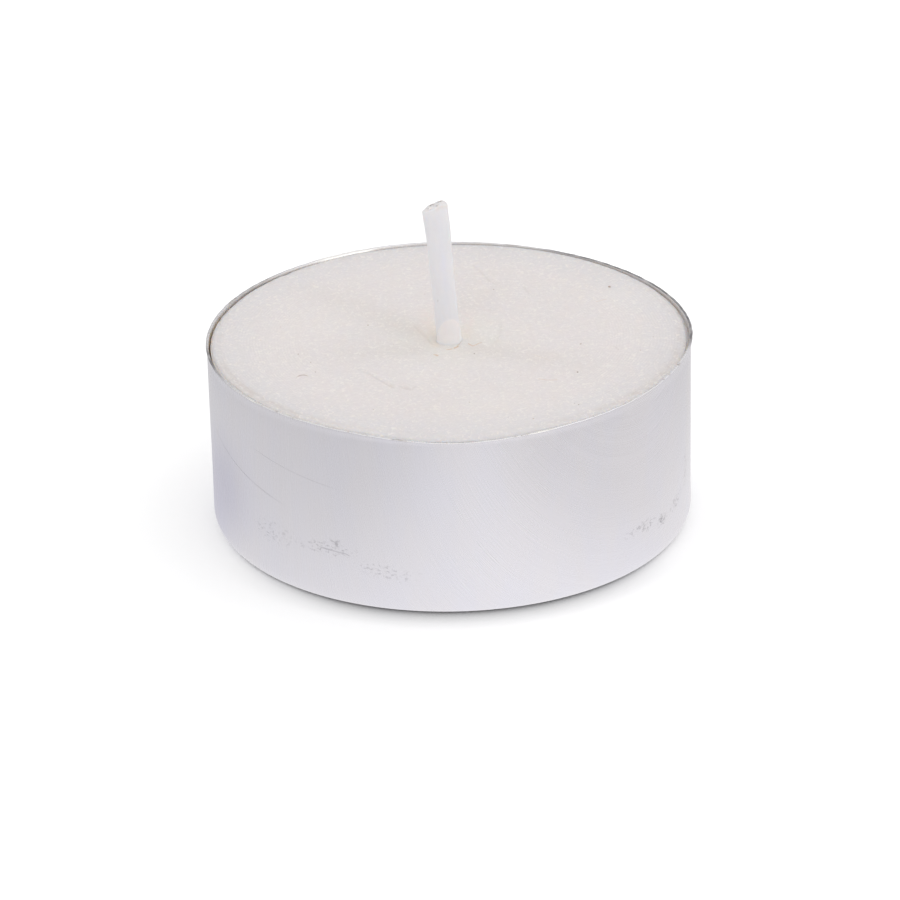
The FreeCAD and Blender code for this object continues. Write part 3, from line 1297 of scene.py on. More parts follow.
@dataclass(frozen=True)
class Crease:
    """Thin crack or fold in the wax's top, in millimetres from the wax's middle."""

    start: Place
    end: Place
    width: float
    depth: float
    step: float = 0.0
    # Strength of the painted warm shade in the crease.
    stain: float = 0.0
    bow: float = 0.0

    def distance(self, x: np.ndarray, y: np.ndarray) -> tuple[np.ndarray, np.ndarray]:
        """Distance from the crease and a fade towards its ends.

        Args:
            x: X of the points.
            y: Y of the points.

        Returns:
            Signed distance and fade.
        """
        share, off = along(x, y, self.start, self.end)
        bowed = off - self.bow * 4.0 * share * (1.0 - share)
        return bowed, between(share, (-0.01, 0.18, 0.82, 1.01))

    def height_at(self, x: np.ndarray, y: np.ndarray) -> np.ndarray:
        """Height of the crease.

        Args:
            x: X of the points.
            y: Y of the points.

        Returns:
            Height at each point.
        """
        off, fade = self.distance(x, y)
        groove = -self.depth * np.exp(-0.5 * (off / self.width) ** 2)
        lift = self.step * np.where(off > 0.0, np.exp(-off / 0.9), 0.0) * smooth_step(off, 0.0, self.width)
        return (groove + lift) * fade

    def warm_shade_at(self, x: np.ndarray, y: np.ndarray) -> np.ndarray:
        """Strength of the painted brown shade in the crease.

        Args:
            x: X of the points.
            y: Y of the points.

        Returns:
            Strength at each point.
        """
        off, fade = self.distance(x, y)
        off = off + 0.05 * GrainField(39).fractal(x, y, 0.22, 2)
        return self.stain * np.exp(-0.5 * (off / (self.width * 1.1)) ** 2) * fade


@dataclass
class WaxCake:
    """Cake of pressed wax that stands loose in the cup, with a hole for the wick and a pocket underneath."""

    centre: Place = (-0.058, 0.191)
    top: float = 14.93
    top_radius: float = 18.4
    foot_radius: float = 18.35
    foot_bevel: float = 1.4
    floor: float = 0.5
    wall_inside: float = 18.7
    front_gap: float = 0.22
    side_gap: float = 0.125
    back_closing: float = 0.26
    dip_closing: float = 0.26
    least_gap: float = -0.02
    side_fall: float = 0.10
    front_fall: float = 0.10
    back_fall: float = 0.015
    edge_fall_width: float = 0.45
    groove_depth: float = 0.11
    back_rise: float = 0.10
    shallow_groove: float = 0.03
    hole_radius: float = 0.96
    collar_radius: float = 0.90
    foot_sink: float = 0.19
    top_zones: tuple[tuple[float, int], ...] = ((3.8, 40), (8.0, 26), (14.0, 30), (17.6, 24))
    edge_rows: int = 14
    grain_layers: tuple[tuple[int, float, float], ...] = (
        (31, 0.020, 6.0), (32, 0.010, 1.6), (33, 0.0045, 0.55),
    )
    chips: tuple[Bump, ...] = (
        (134.5, 0.9, 0.16), (169.5, 0.8, 0.20), (153.5, 1.3, 0.14), (37.0, 1.0, 0.12), (-27.0, 1.6, 0.10),
        (21.0, 0.7, 0.10),
    )
    open_right: Plateau = (-34.0, -14.0, 16.0, 36.0)
    open_left: Plateau = (152.0, 170.0, 193.0, 206.0)
    pocket_radius: float = 1.58
    pocket_top: float = 3.65
    disc_radius: float = 6.5
    disc_top: float = 0.9
    columns: int = 600
    finish: PressedWax = field(default_factory=PressedWax)
    valleys: tuple[Valley, ...] = (
        Valley((-2.9, 1.9), (-11.9, 11.2), 1.25, 1.3, 0.105),
        Valley((-2.6, -2.3), (-12.0, -3.6), 0.9, 1.3, 0.075),
        Valley((2.2, -2.3), (11.0, -5.9), 1.0, 1.3, 0.105),
        Valley((1.8, 6.0), (3.6, 13.5), 1.3, 1.9, 0.06),
    )
    creases: tuple[Crease, ...] = (
        Crease((-7.2, -5.7), (-5.3, -7.8), 0.15, 0.05, 0.05),
        Crease((-5.8, -7.2), (-4.2, -9.4), 0.15, 0.08, 0.08),
        Crease((-3.8, -9.2), (-2.8, -9.9), 0.18, 0.08, 0.05),
        Crease((2.0, 14.5), (4.3, 9.8), 0.16, 0.06, 0.03, 0.0, -0.25),
        Crease((6.1, 9.8), (6.5, 8.1), 0.16, 0.05, 0.02, 0.0, 0.05),
        Crease((-2.7, 2.5), (-1.2, -1.3), 0.12, 0.03, 0.02),
        Crease((3.2, 5.4), (3.4, 4.0), 0.25, 0.05, 0.0),
        Crease((-0.26, -2.14), (0.30, -1.86), 0.045, 0.05, 0.0, 0.75, -0.06),
        Crease((0.30, -1.86), (0.72, -1.14), 0.040, 0.05, 0.0, 0.70, -0.10),
        Crease((0.72, -1.14), (0.98, -0.40), 0.040, 0.05, 0.0, 0.60, 0.06),
        Crease((-1.24, -3.15), (-0.86, -3.60), 0.050, 0.05, 0.0, 0.70, 0.04),
        Crease((4.1, 2.6), (3.6, -1.2), 0.16, 0.06, 0.04, 0.0, 0.20),
    )
    pale_places: tuple[tuple[float, float, float, float], ...] = (
        (-10.5, 2.9, 2.2, 0.25), (3.0, -12.0, 2.2, 0.22), (14.1, 7.7, 1.8, 0.22), (-0.7, -6.2, 2.0, 0.28),
    )

    def edge_radius(self, angle: np.ndarray) -> np.ndarray:
        """Radius of the wax's ragged edge.

        Args:
            angle: Angles in degrees round the wax's middle.

        Returns:
            Radius at each angle.
        """
        ragged = 0.022 * np.abs(RingNoise(21, 20, 260, 0.35).at(angle))
        uneven = 0.02 * RingNoise(22, 2, 12, 0.5).at(angle)
        beside = np.cos(np.radians(angle)) ** 4
        gap = self.front_gap + (self.side_gap - self.front_gap) * beside
        gap = gap - swells(angle, ((95.0, 38.0, self.back_closing), (-89.0, 8.0, self.dip_closing)))
        gap = np.maximum(gap + ragged + uneven, self.least_gap)
        return self.reach(angle, self.wall_inside - gap) - swells(angle, self.chips)

    def reach(self, angle: np.ndarray, radius: Any) -> np.ndarray:
        """Radius about the wax's middle of places at a radius about the cup's axis.

        Args:
            angle: Angles in degrees round the wax's middle.
            radius: Radius about the cup's axis.

        Returns:
            Radius about the wax's middle at each angle.
        """
        turn = np.radians(angle)
        lead = self.centre[0] * np.cos(turn) + self.centre[1] * np.sin(turn)
        return np.sqrt(lead**2 + radius**2 - self.centre[0] ** 2 - self.centre[1] ** 2) - lead

    def edge_fall(self, angle: np.ndarray) -> np.ndarray:
        """Height that the wax's top falls by at its edge.

        Args:
            angle: Angles in degrees round the wax's middle.

        Returns:
            Fall at each angle.
        """
        turn = np.radians(angle)
        sideways = np.cos(turn) ** 4
        level = np.where(np.sin(turn) > 0.0, self.back_fall, self.front_fall)
        level = level + (self.side_fall - level) * sideways
        return np.maximum(level, 0.47 * swell(angle, -89.0, 14.0) - 0.16)

    def relief(self, x: np.ndarray, y: np.ndarray) -> np.ndarray:
        """Height of the wax's top above its level, before its edge falls away.

        Args:
            x: X from the wax's middle.
            y: Y from the wax's middle.

        Returns:
            Height at each point.
        """
        out = np.hypot(x, y)
        total = self.valley_height(x, y)
        for seed, size, pitch in self.grain_layers:
            total = total + size * GrainField(seed).fractal(x, y, pitch, 2)
        for crease in self.creases:
            total = total + crease.height_at(x, y)
        around_wick = np.exp(-0.5 * ((out - 1.6) / 0.5) ** 2)
        total = total + 0.04 * around_wick * GrainField(34).layer(x, y, 0.8)
        frontward = smooth_step(-y / np.maximum(out, 0.1), -0.9, 1.0)
        total = total - self.foot_sink * frontward * np.exp(-0.5 * (np.maximum(out - 0.95, 0.0) / 1.15) ** 2)
        pressed = np.exp(-0.5 * ((self.top_radius - 0.42 - out) / 0.14) ** 2)
        return total - 0.018 * pressed * smooth_step(-y, 4.0, 12.0)

    def valley_height(self, x: np.ndarray, y: np.ndarray) -> np.ndarray:
        """Depth of the valleys, as a negative height."""
        return sum(valley.height_at(x, y) for valley in self.valleys)

    def surface(self, x: float, y: float) -> float:
        """Height of the wax's top at a place in the frame.

        Args:
            x: X in millimetres.
            y: Y in millimetres.

        Returns:
            Height in millimetres.
        """
        local_x = np.array([x - self.centre[0]])
        local_y = np.array([y - self.centre[1]])
        return float(self.top + self.relief(local_x, local_y)[0])

    def top_rings(self, angle: np.ndarray) -> np.ndarray:
        """Points of the wax's top, from its edge to the wick's hole.

        Args:
            angle: Angle of each column.

        Returns:
            Array of rows, columns and (x, y, height).
        """
        edge = self.edge_radius(angle)
        radii = [np.full_like(angle, self.collar_radius)]
        start = self.collar_radius
        for end, steps in self.top_zones:
            radii += [np.full_like(angle, radius) for radius in np.linspace(start, end, steps)[1:]]
            start = end
        for share in np.linspace(0.0, 1.0, self.edge_rows)[1:]:
            radii.append(start + share**0.85 * (edge - start))
        radius = np.stack(radii)
        turn = np.radians(angle)[None, :]
        x = radius * np.cos(turn)
        y = radius * np.sin(turn)
        inside = edge[None, :] - radius
        dip = swell(angle, -89.0, 14.0)[None, :]
        share = np.clip(1.0 - inside / (self.edge_fall_width + 0.45 * dip), 0.0, 1.0)
        crumble = 1.0 + 0.35 * GrainField(36).fractal(x, y, 0.5, 2)
        fall_height = self.edge_fall(angle)[None, :] * share ** (2.6 - 0.8 * dip) * crumble
        height = self.top + self.relief(x, y) * smooth_step(inside, 0.0, 0.25) - fall_height
        back_swell = self.back_rise * swell(angle, 80.0, 42.0)[None, :]
        height = height + back_swell * smooth_step(radius, 16.4, 18.0)
        return np.stack([x, y, height], -1)[::-1]

    def build(self) -> bpy.types.Object:
        """Build the wax.

        Returns:
            The object.
        """
        angle = np.arange(self.columns) * 360.0 / self.columns
        turn = np.radians(angle)
        top = self.top_rings(angle)
        edge = self.edge_radius(angle)
        round_x = np.cos(turn)
        round_y = np.sin(turn)

        def ring(radius: Any, height: Any) -> np.ndarray:
            """Ring at a radius and a height."""
            wide = np.broadcast_to(radius, angle.shape)
            high = np.broadcast_to(height, angle.shape)
            return np.stack([wide * round_x, wide * round_y, high], -1)

        crumbs = 0.02 * RingNoise(41, 30, 240, 0.3).at(angle)
        open_gap = self.open_gap(angle)
        groove = self.shallow_groove + (self.groove_depth - self.shallow_groove) * open_gap
        edge_height = top[0, :, 2]
        powder = self.top - groove + 0.03 * open_gap * RingNoise(42, 6, 90, 0.4).at(angle)
        powder = np.minimum(powder, edge_height - 0.03)
        drop = edge_height - powder
        crumbs = crumbs * open_gap
        ledge = np.maximum(self.reach(angle, self.wall_inside + 0.01), edge + 0.01)
        side = [
            ring(self.hole_radius, self.pocket_top),
            ring(self.pocket_radius, self.pocket_top),
            ring(self.pocket_radius, self.disc_top),
            ring(self.disc_radius, self.disc_top),
            ring(self.disc_radius, self.floor),
            ring(12.0, self.floor),
            ring(self.foot_radius - self.foot_bevel, self.floor),
            ring(self.foot_radius - 0.5 * self.foot_bevel, self.floor + 0.4 * self.foot_bevel),
            ring(self.foot_radius, self.floor + self.foot_bevel),
            ring(self.foot_radius, 8.0),
            ring(self.foot_radius + 0.02, 12.0),
            ring(ledge - 0.06, 12.6),
            ring(ledge - 0.03, 14.2),
            ring(ledge, powder - 0.03),
            ring(0.7 * ledge + 0.3 * edge, powder),
            ring(0.3 * ledge + 0.7 * edge, powder + crumbs),
            ring(edge + 0.004, powder + 0.3 * drop),
            ring(edge + 0.002, powder + 0.8 * drop),
        ]
        hole = [ring(self.collar_radius, 14.3), ring(self.hole_radius, 13.9), ring(self.hole_radius, 9.0)]
        rings = np.concatenate([np.stack(side), top, np.stack(hole)])
        rows = len(rings)
        points = rings.reshape(-1, 3) + np.array([self.centre[0], self.centre[1], 0.0])
        faces = Lathe.ring_faces(rows, self.columns)
        last = (rows - 1) * self.columns
        for column in range(self.columns):
            ahead = (column + 1) % self.columns
            faces.append((last + column, last + ahead, ahead, column))
        piece = Lathe.object_from("wax_cake", points, faces)
        x = rings[..., 0]
        y = rings[..., 1]
        # Painted warm shade in the creases.
        crack = np.zeros(x.shape)
        for crease in self.creases:
            crack = np.maximum(crack, crease.warm_shade_at(x, y))
        carry(piece, "crack", crack)
        # Where painted warm shade shows deep in the gap to the cup.
        carry(piece, "open_gap", open_gap[None, :] * smooth_step(np.hypot(x, y), 17.0, 17.6))
        # Paler places, and painted light round the wick's foot.
        carry(piece, "pale", self.pale(x, y))
        # Painted shade beside the wax's edge.
        carry(piece, "bevel", self.bevel(x, y))
        # Painted shade in the valleys.
        carry(piece, "valley", np.clip(-self.valley_height(x, y) / 0.19, 0.0, 1.0) * (rings[..., 2] > 14.5))
        # Painted warm shade of the wick.
        carry(piece, "stain", self.stain(x, y))
        carry(piece, "blush", self.blush(x, y))
        return piece

    def open_gap(self, angle: np.ndarray) -> np.ndarray:
        """Where the gap between the wax and the cup stands open: at the left and at the right."""
        turn = (angle + 90.0) % 360.0 - 90.0
        return np.maximum(between(turn, self.open_right), between(turn, self.open_left))

    def pale(self, x: np.ndarray, y: np.ndarray) -> np.ndarray:
        """Where the wax is a little paler, painted light round the wick's foot, and two small pale smears.

        Args:
            x: X from the wax's middle.
            y: Y from the wax's middle.

        Returns:
            Strength at each point.
        """
        total = np.zeros(x.shape)
        for place_x, place_y, wide, strength in self.pale_places:
            far = np.hypot(x - place_x, y - place_y) / wide
            total = np.maximum(total, strength * np.exp(-0.5 * far**2))
        # Painted light in a ring round the wick's foot, that lifts the shade where the wick meets the wax.
        total = np.maximum(total, 0.9 * np.exp(-0.5 * ((np.hypot(x, y) - 1.08) / 0.14) ** 2))
        _, off = along(x, y, (11.9, -6.07), (12.5, -6.0))
        total = np.maximum(total, 0.8 * np.exp(-0.5 * (off / 0.14) ** 2))
        _, off = along(x, y, (2.6, 9.8), (3.0, 10.3))
        return np.maximum(total, 0.6 * np.exp(-0.5 * (off / 0.14) ** 2))

    def bevel(self, x: np.ndarray, y: np.ndarray) -> np.ndarray:
        """Painted brown shade by the wax's edge and in its pressed ring, most at the front left and right.

        Args:
            x: X from the wax's middle.
            y: Y from the wax's middle.

        Returns:
            Strength at each point.
        """
        angle = np.degrees(np.arctan2(y, x))
        inside = self.top_radius - np.hypot(x, y)
        left = swell(angle, -146.0, 20.0)
        right = swell(angle, -32.0, 19.0)
        where = (0.35 + 0.65 * np.maximum(left, right)) * (1.0 - 0.8 * swell(angle, -89.0, 15.0))
        ring = np.exp(-0.5 * ((inside - 0.34) / 0.24) ** 2)
        wide = np.exp(-np.maximum(inside, 0.0) / 1.4)
        ragged = 1.0 + 0.7 * GrainField(38).fractal(x, y, 0.4, 2)
        return np.clip((0.55 * ring * ragged + 0.24 * wide) * where, 0.0, 1.0)

    def stain(self, x: np.ndarray, y: np.ndarray) -> np.ndarray:
        """Faint painted warm shade of the wick on the wax beside and behind it.

        Args:
            x: X from the wax's middle.
            y: Y from the wax's middle.

        Returns:
            Strength at each point.
        """
        share, off = along(x, y, (-1.05, -1.2), (-1.7, 7.5))
        width = 0.30 + 0.20 * share
        left = 0.38 * np.exp(-0.5 * (off / width) ** 2) * (1.0 - share) ** 1.2
        share, off = along(x, y, (-0.9, -1.0), (-2.5, 2.4))
        corner = 0.22 * np.exp(-0.5 * (off / 0.4) ** 2) * (1.0 - 0.6 * share)
        share, off = along(x, y, (1.2, 0.5), (1.5, 3.5))
        right = 0.20 * np.exp(-0.5 * (off / 0.5) ** 2) * (1.0 - share)
        return np.clip(np.maximum(np.maximum(left, corner), right), 0.0, 1.0)

    @staticmethod
    def blush(x: np.ndarray, y: np.ndarray) -> np.ndarray:
        """Faint pinkish tint on both sides of the wick.

        Args:
            x: X from the wax's middle.
            y: Y from the wax's middle.

        Returns:
            Strength at each point.
        """
        left = 0.34 * np.exp(-0.5 * (((x + 1.75) / 0.5) ** 2 + ((y - 3.2) / 2.6) ** 2))
        right = 0.30 * np.exp(-0.5 * (((x - 1.5) / 0.45) ** 2 + ((y - 3.2) / 1.6) ** 2))
        patchy = np.clip(0.7 + 0.8 * GrainField(43).fractal(x, y * 0.5, 0.3, 2), 0.0, 1.4)
        return np.clip((left + right) * patchy, 0.0, 1.0)

    def dress(self, piece: bpy.types.Object) -> None:
        """Give the wax its finish and let it stand for the CAD wax."""
        piece.data.materials.append(self.finish.material(self.centre, self.top_radius, self.top))
        seat(piece, Slot.WAX, "wax")


@dataclass
class WaxedWick:
    """Round waxed wick that leans left above the wax, cut on a slant, with a boot of wax at its foot."""

    centre: Place = (-0.058, 0.191)
    radius: float = 0.95
    floor: float = 0.5
    bend_start: float = 14.73
    bend_radius: float = 5.0
    lean: float = 4.7
    tip_height: float = 26.10
    cut_angle: float = 26.4
    cut_tilt: float = 11.0
    corner_start: float = 0.36
    corner_roundness: float = 0.80
    waist: float = 0.015
    tip_swell: float = 0.075
    sway: float = 0.045
    boot_top: float = 16.82
    boot_arch: float = 2.3
    boot_angle: float = -76.0
    boot_thickness: float = 0.06
    boot_toe: float = 0.08
    boot_fillet: float = 0.13
    fillet_height: float = 0.24
    buried_rows: tuple[float, ...] = (0.0, 0.6, 4.0, 8.0, 11.0, 13.2)
    foot_start: float = 13.6
    foot_rows: int = 26
    side_zones: tuple[tuple[float, int], ...] = ((0.22, 26), (0.93, 62), (0.994, 12))
    cut_shares: tuple[float, ...] = (0.985, 0.96, 0.90, 0.80, 0.68, 0.55, 0.42, 0.28, 0.14)
    cut_edge_round: float = 0.03
    cut_roughness: float = 0.09
    surface_wave: float = 0.012
    streak_angle: float = -78.0
    streak_spread: float = 11.0
    streak_height: float = 21.2
    streak_length: float = 1.9
    speck_strength: float = 0.6
    tan_strength: float = 0.55
    speck_place: Place = (-0.87, 18.42)
    cut_dark_places: tuple[Place, ...] = ((-0.34, 0.58), (-0.12, 0.62), (0.34, 0.45), (0.50, 0.30))
    cut_pale_places: tuple[Place, ...] = ((-0.36, -0.50), (-0.16, -0.62))
    columns: int = 112
    finish: WaxedCotton = field(default_factory=WaxedCotton)

    def centre_line(self, height: float) -> tuple[np.ndarray, np.ndarray, np.ndarray]:
        """Point of the wick's middle line, its heading and the direction across it in the XZ plane.

        Args:
            height: Distance from the floor along the middle line, in millimetres.

        Returns:
            Point, heading and across direction.
        """
        lean = math.radians(self.lean)
        upright = self.bend_start - self.floor
        bend = self.bend_radius * lean
        turn = min(max(height - upright, 0.0), bend) / self.bend_radius
        beyond = max(0.0, height - upright - bend)
        heading = np.array([-math.sin(turn), 0.0, math.cos(turn)])
        across = np.array([math.cos(turn), 0.0, math.sin(turn)])
        point = np.array([
            self.bend_radius * (math.cos(turn) - 1.0),
            0.0,
            self.floor + min(height, upright) + self.bend_radius * math.sin(turn),
        ])
        return point + heading * beyond, heading, across

    def cut_height(self, across: np.ndarray, back: np.ndarray) -> np.ndarray:
        """Distance of the cut along the wick from the tip's middle.

        Args:
            across: Distance to the right of the middle line.
            back: Distance behind the middle line.

        Returns:
            Distance along the heading.
        """
        rise = math.tan(math.radians(self.cut_angle - self.lean))
        fall = math.tan(math.radians(self.cut_tilt)) * math.hypot(1.0, rise)
        plane = rise * across - fall * back
        high = np.maximum(0.0, across - self.corner_start)
        return plane - self.corner_roundness * high**2

    def boot(self, angle: np.ndarray, height: np.ndarray) -> tuple[np.ndarray, np.ndarray]:
        """Thickness of the wax that clings to the wick's foot, and where it is.

        Args:
            angle: Angle round the wick in degrees.
            height: Height in millimetres.

        Returns:
            Thickness and mask.
        """
        away = np.abs((angle - self.boot_angle + 180.0) % 360.0 - 180.0)
        arch = self.boot_top - self.boot_arch * (away / 100.0) ** 2
        mask = smooth_step(height, arch + 0.06, arch - 0.10) * smooth_step(away, 150.0, 115.0)
        mask = mask * smooth_step(height, self.bend_start - 0.9, self.bend_start - 0.6)
        low = smooth_step(height, self.bend_start + 0.9, self.bend_start)
        toe = self.boot_toe * swell(angle, -90.0, 40.0) * low
        rise = np.clip((self.bend_start + self.fillet_height - height) / self.fillet_height, 0.0, 1.2)
        fillet = self.boot_fillet * rise**2
        return mask * (self.boot_thickness + toe + fillet), mask

    def build(self) -> bpy.types.Object:
        """Build the wick.

        Returns:
            The object.
        """
        angle = np.arange(self.columns) * 360.0 / self.columns
        turn = np.radians(angle)
        across_share = np.cos(turn)
        back_share = np.sin(turn)
        lean = math.radians(self.lean)
        straight_start = self.bend_start - self.floor + self.bend_radius * lean
        end, heading, across = self.centre_line(straight_start)
        tip_run = (self.tip_height - end[2]) / heading[2]
        foot = np.linspace(self.foot_start, straight_start, self.foot_rows)
        noise = GrainField(51)
        rows = []
        boots = []
        for length in (*self.buried_rows, *foot):
            point, _, side = self.centre_line(float(length))
            thickness, mask = self.boot(angle, np.full_like(angle, point[2]))
            outward = across_share[:, None] * side + back_share[:, None] * BACKWARD
            rows.append(point + (self.radius - self.waist + thickness)[:, None] * outward)
            boots.append(mask)
        outward = across_share[:, None] * across + back_share[:, None] * BACKWARD
        shares = [0.0]
        for stop, steps in self.side_zones:
            shares += list(np.linspace(shares[-1], stop, steps)[1:])
        cut = tip_run + self.cut_height(across_share * self.radius, back_share * self.radius)
        for share in shares[1:]:
            run = share * (cut - self.cut_edge_round)
            middle = end + run[:, None] * heading
            thickness, mask = self.boot(angle, middle[:, 2])
            wave = self.surface_wave * noise.fractal(turn * 1.2 + 9.0, middle[:, 2], 1.6, 2)
            seam = smooth_step(np.abs(turn - math.pi), math.pi, math.pi - 0.6)
            below = tip_run - run
            swollen = self.tip_swell * smooth_step(below, 4.6, 0.8)
            sideways = self.sway * smooth_step(below, 0.6, 2.0) * smooth_step(below, 6.5, 2.6)
            middle = middle + sideways[:, None] * across
            radius = self.radius - self.waist + wave * seam + thickness + swollen
            rows.append(middle + radius[:, None] * outward)
            boots.append(mask)
        side_rows = len(rows)
        rough = GrainField(52)
        for share in self.cut_shares:
            radius = (self.radius - self.waist + self.tip_swell) * share
            right = radius * across_share
            back = radius * back_share
            torn = rough.fractal(right + 3.0, back + 5.0, 0.35, 2)
            bits = self.cut_roughness * torn * smooth_step(np.array(share), 1.0, 0.8)
            drop = self.cut_edge_round * smooth_step(np.array(share), 0.92, 1.0)
            run = tip_run + self.cut_height(right, back) + bits - drop
            rows.append(end + run[:, None] * heading + right[:, None] * across + back[:, None] * BACKWARD)
            boots.append(np.zeros_like(angle))
        rings = np.stack(rows)
        points = rings.reshape(-1, 3)
        centre = np.array([self.centre[0], self.centre[1], 0.0])
        tip = end + (tip_run + float(self.cut_height(np.array(0.0), np.array(0.0)))) * heading
        points = np.vstack([points, [0.0, 0.0, self.floor], tip]) + centre
        count = len(rings) * self.columns
        faces = Lathe.closed_faces(len(rings), self.columns, 0, count, count + 1)
        piece = Lathe.object_from("waxed_wick", points, faces)
        cut_mask = np.zeros(rings.shape[:2])
        cut_mask[side_rows:] = 1.0
        on_cut = np.append(cut_mask.ravel(), [0.0, 1.0])
        carry(piece, "cut", on_cut)
        carry(piece, "boot", np.append(np.stack(boots).ravel(), [0.0, 0.0]))
        front = swell(angle, self.streak_angle, self.streak_spread)
        front = np.append(np.tile(front, len(rings)), [0.0, 0.0])
        far = (points[:, 2] - self.streak_height) / self.streak_length
        middle_part = 0.15 + 0.85 * np.exp(-0.5 * far**2)
        carry(piece, "streak", front * middle_part * (1.0 - on_cut))
        self.mark(piece, points, points - tip - centre, heading, across, on_cut)
        return piece

    def mark(self, piece: bpy.types.Object, points: np.ndarray, from_tip: np.ndarray, heading: np.ndarray,
             across: np.ndarray, on_cut: np.ndarray) -> None:
        """Say where the wick has its speck, its dark and pale bits on the cut and its tan tint.

        Args:
            piece: The wick.
            points: Its points.
            from_tip: Its points from the middle of the cut.
            heading: Way that the leaning part points.
            across: Way across it to the right.
            on_cut: 1 at the points on the cut, 0 elsewhere.
        """
        off = np.hypot(points[:, 0] - self.speck_place[0], points[:, 2] - self.speck_place[1])
        speck = np.where(points[:, 1] < 0.0, smooth_step(off, 0.08, 0.02), 0.0)
        carry(piece, "speck", speck * self.speck_strength)
        right = from_tip @ across
        for name, places, wide in (
            ("cut_dark", self.cut_dark_places, 0.09),
            ("cut_pale", self.cut_pale_places, 0.12),
        ):
            spots = [np.hypot(right - sideways, (from_tip[:, 1] - back) / 1.8) for sideways, back in places]
            far = np.min(spots, axis=0)
            carry(piece, name, smooth_step(far, 1.5 * wide, 0.5 * wide) * on_cut)
        below = self.cut_height(right, from_tip[:, 1]) - from_tip @ heading
        tan = smooth_step(below, 0.60, 0.15) * smooth_step(right, -0.15, 0.35) * (1.0 - on_cut)
        carry(piece, "tan", self.tan_strength * tan * (from_tip[:, 1] < 0.0))

    def dress(self, piece: bpy.types.Object) -> None:
        """Give the wick its finish and let it stand for the CAD wick."""
        piece.data.materials.append(self.finish.material())
        seat(piece, Slot.WICK, "wick")


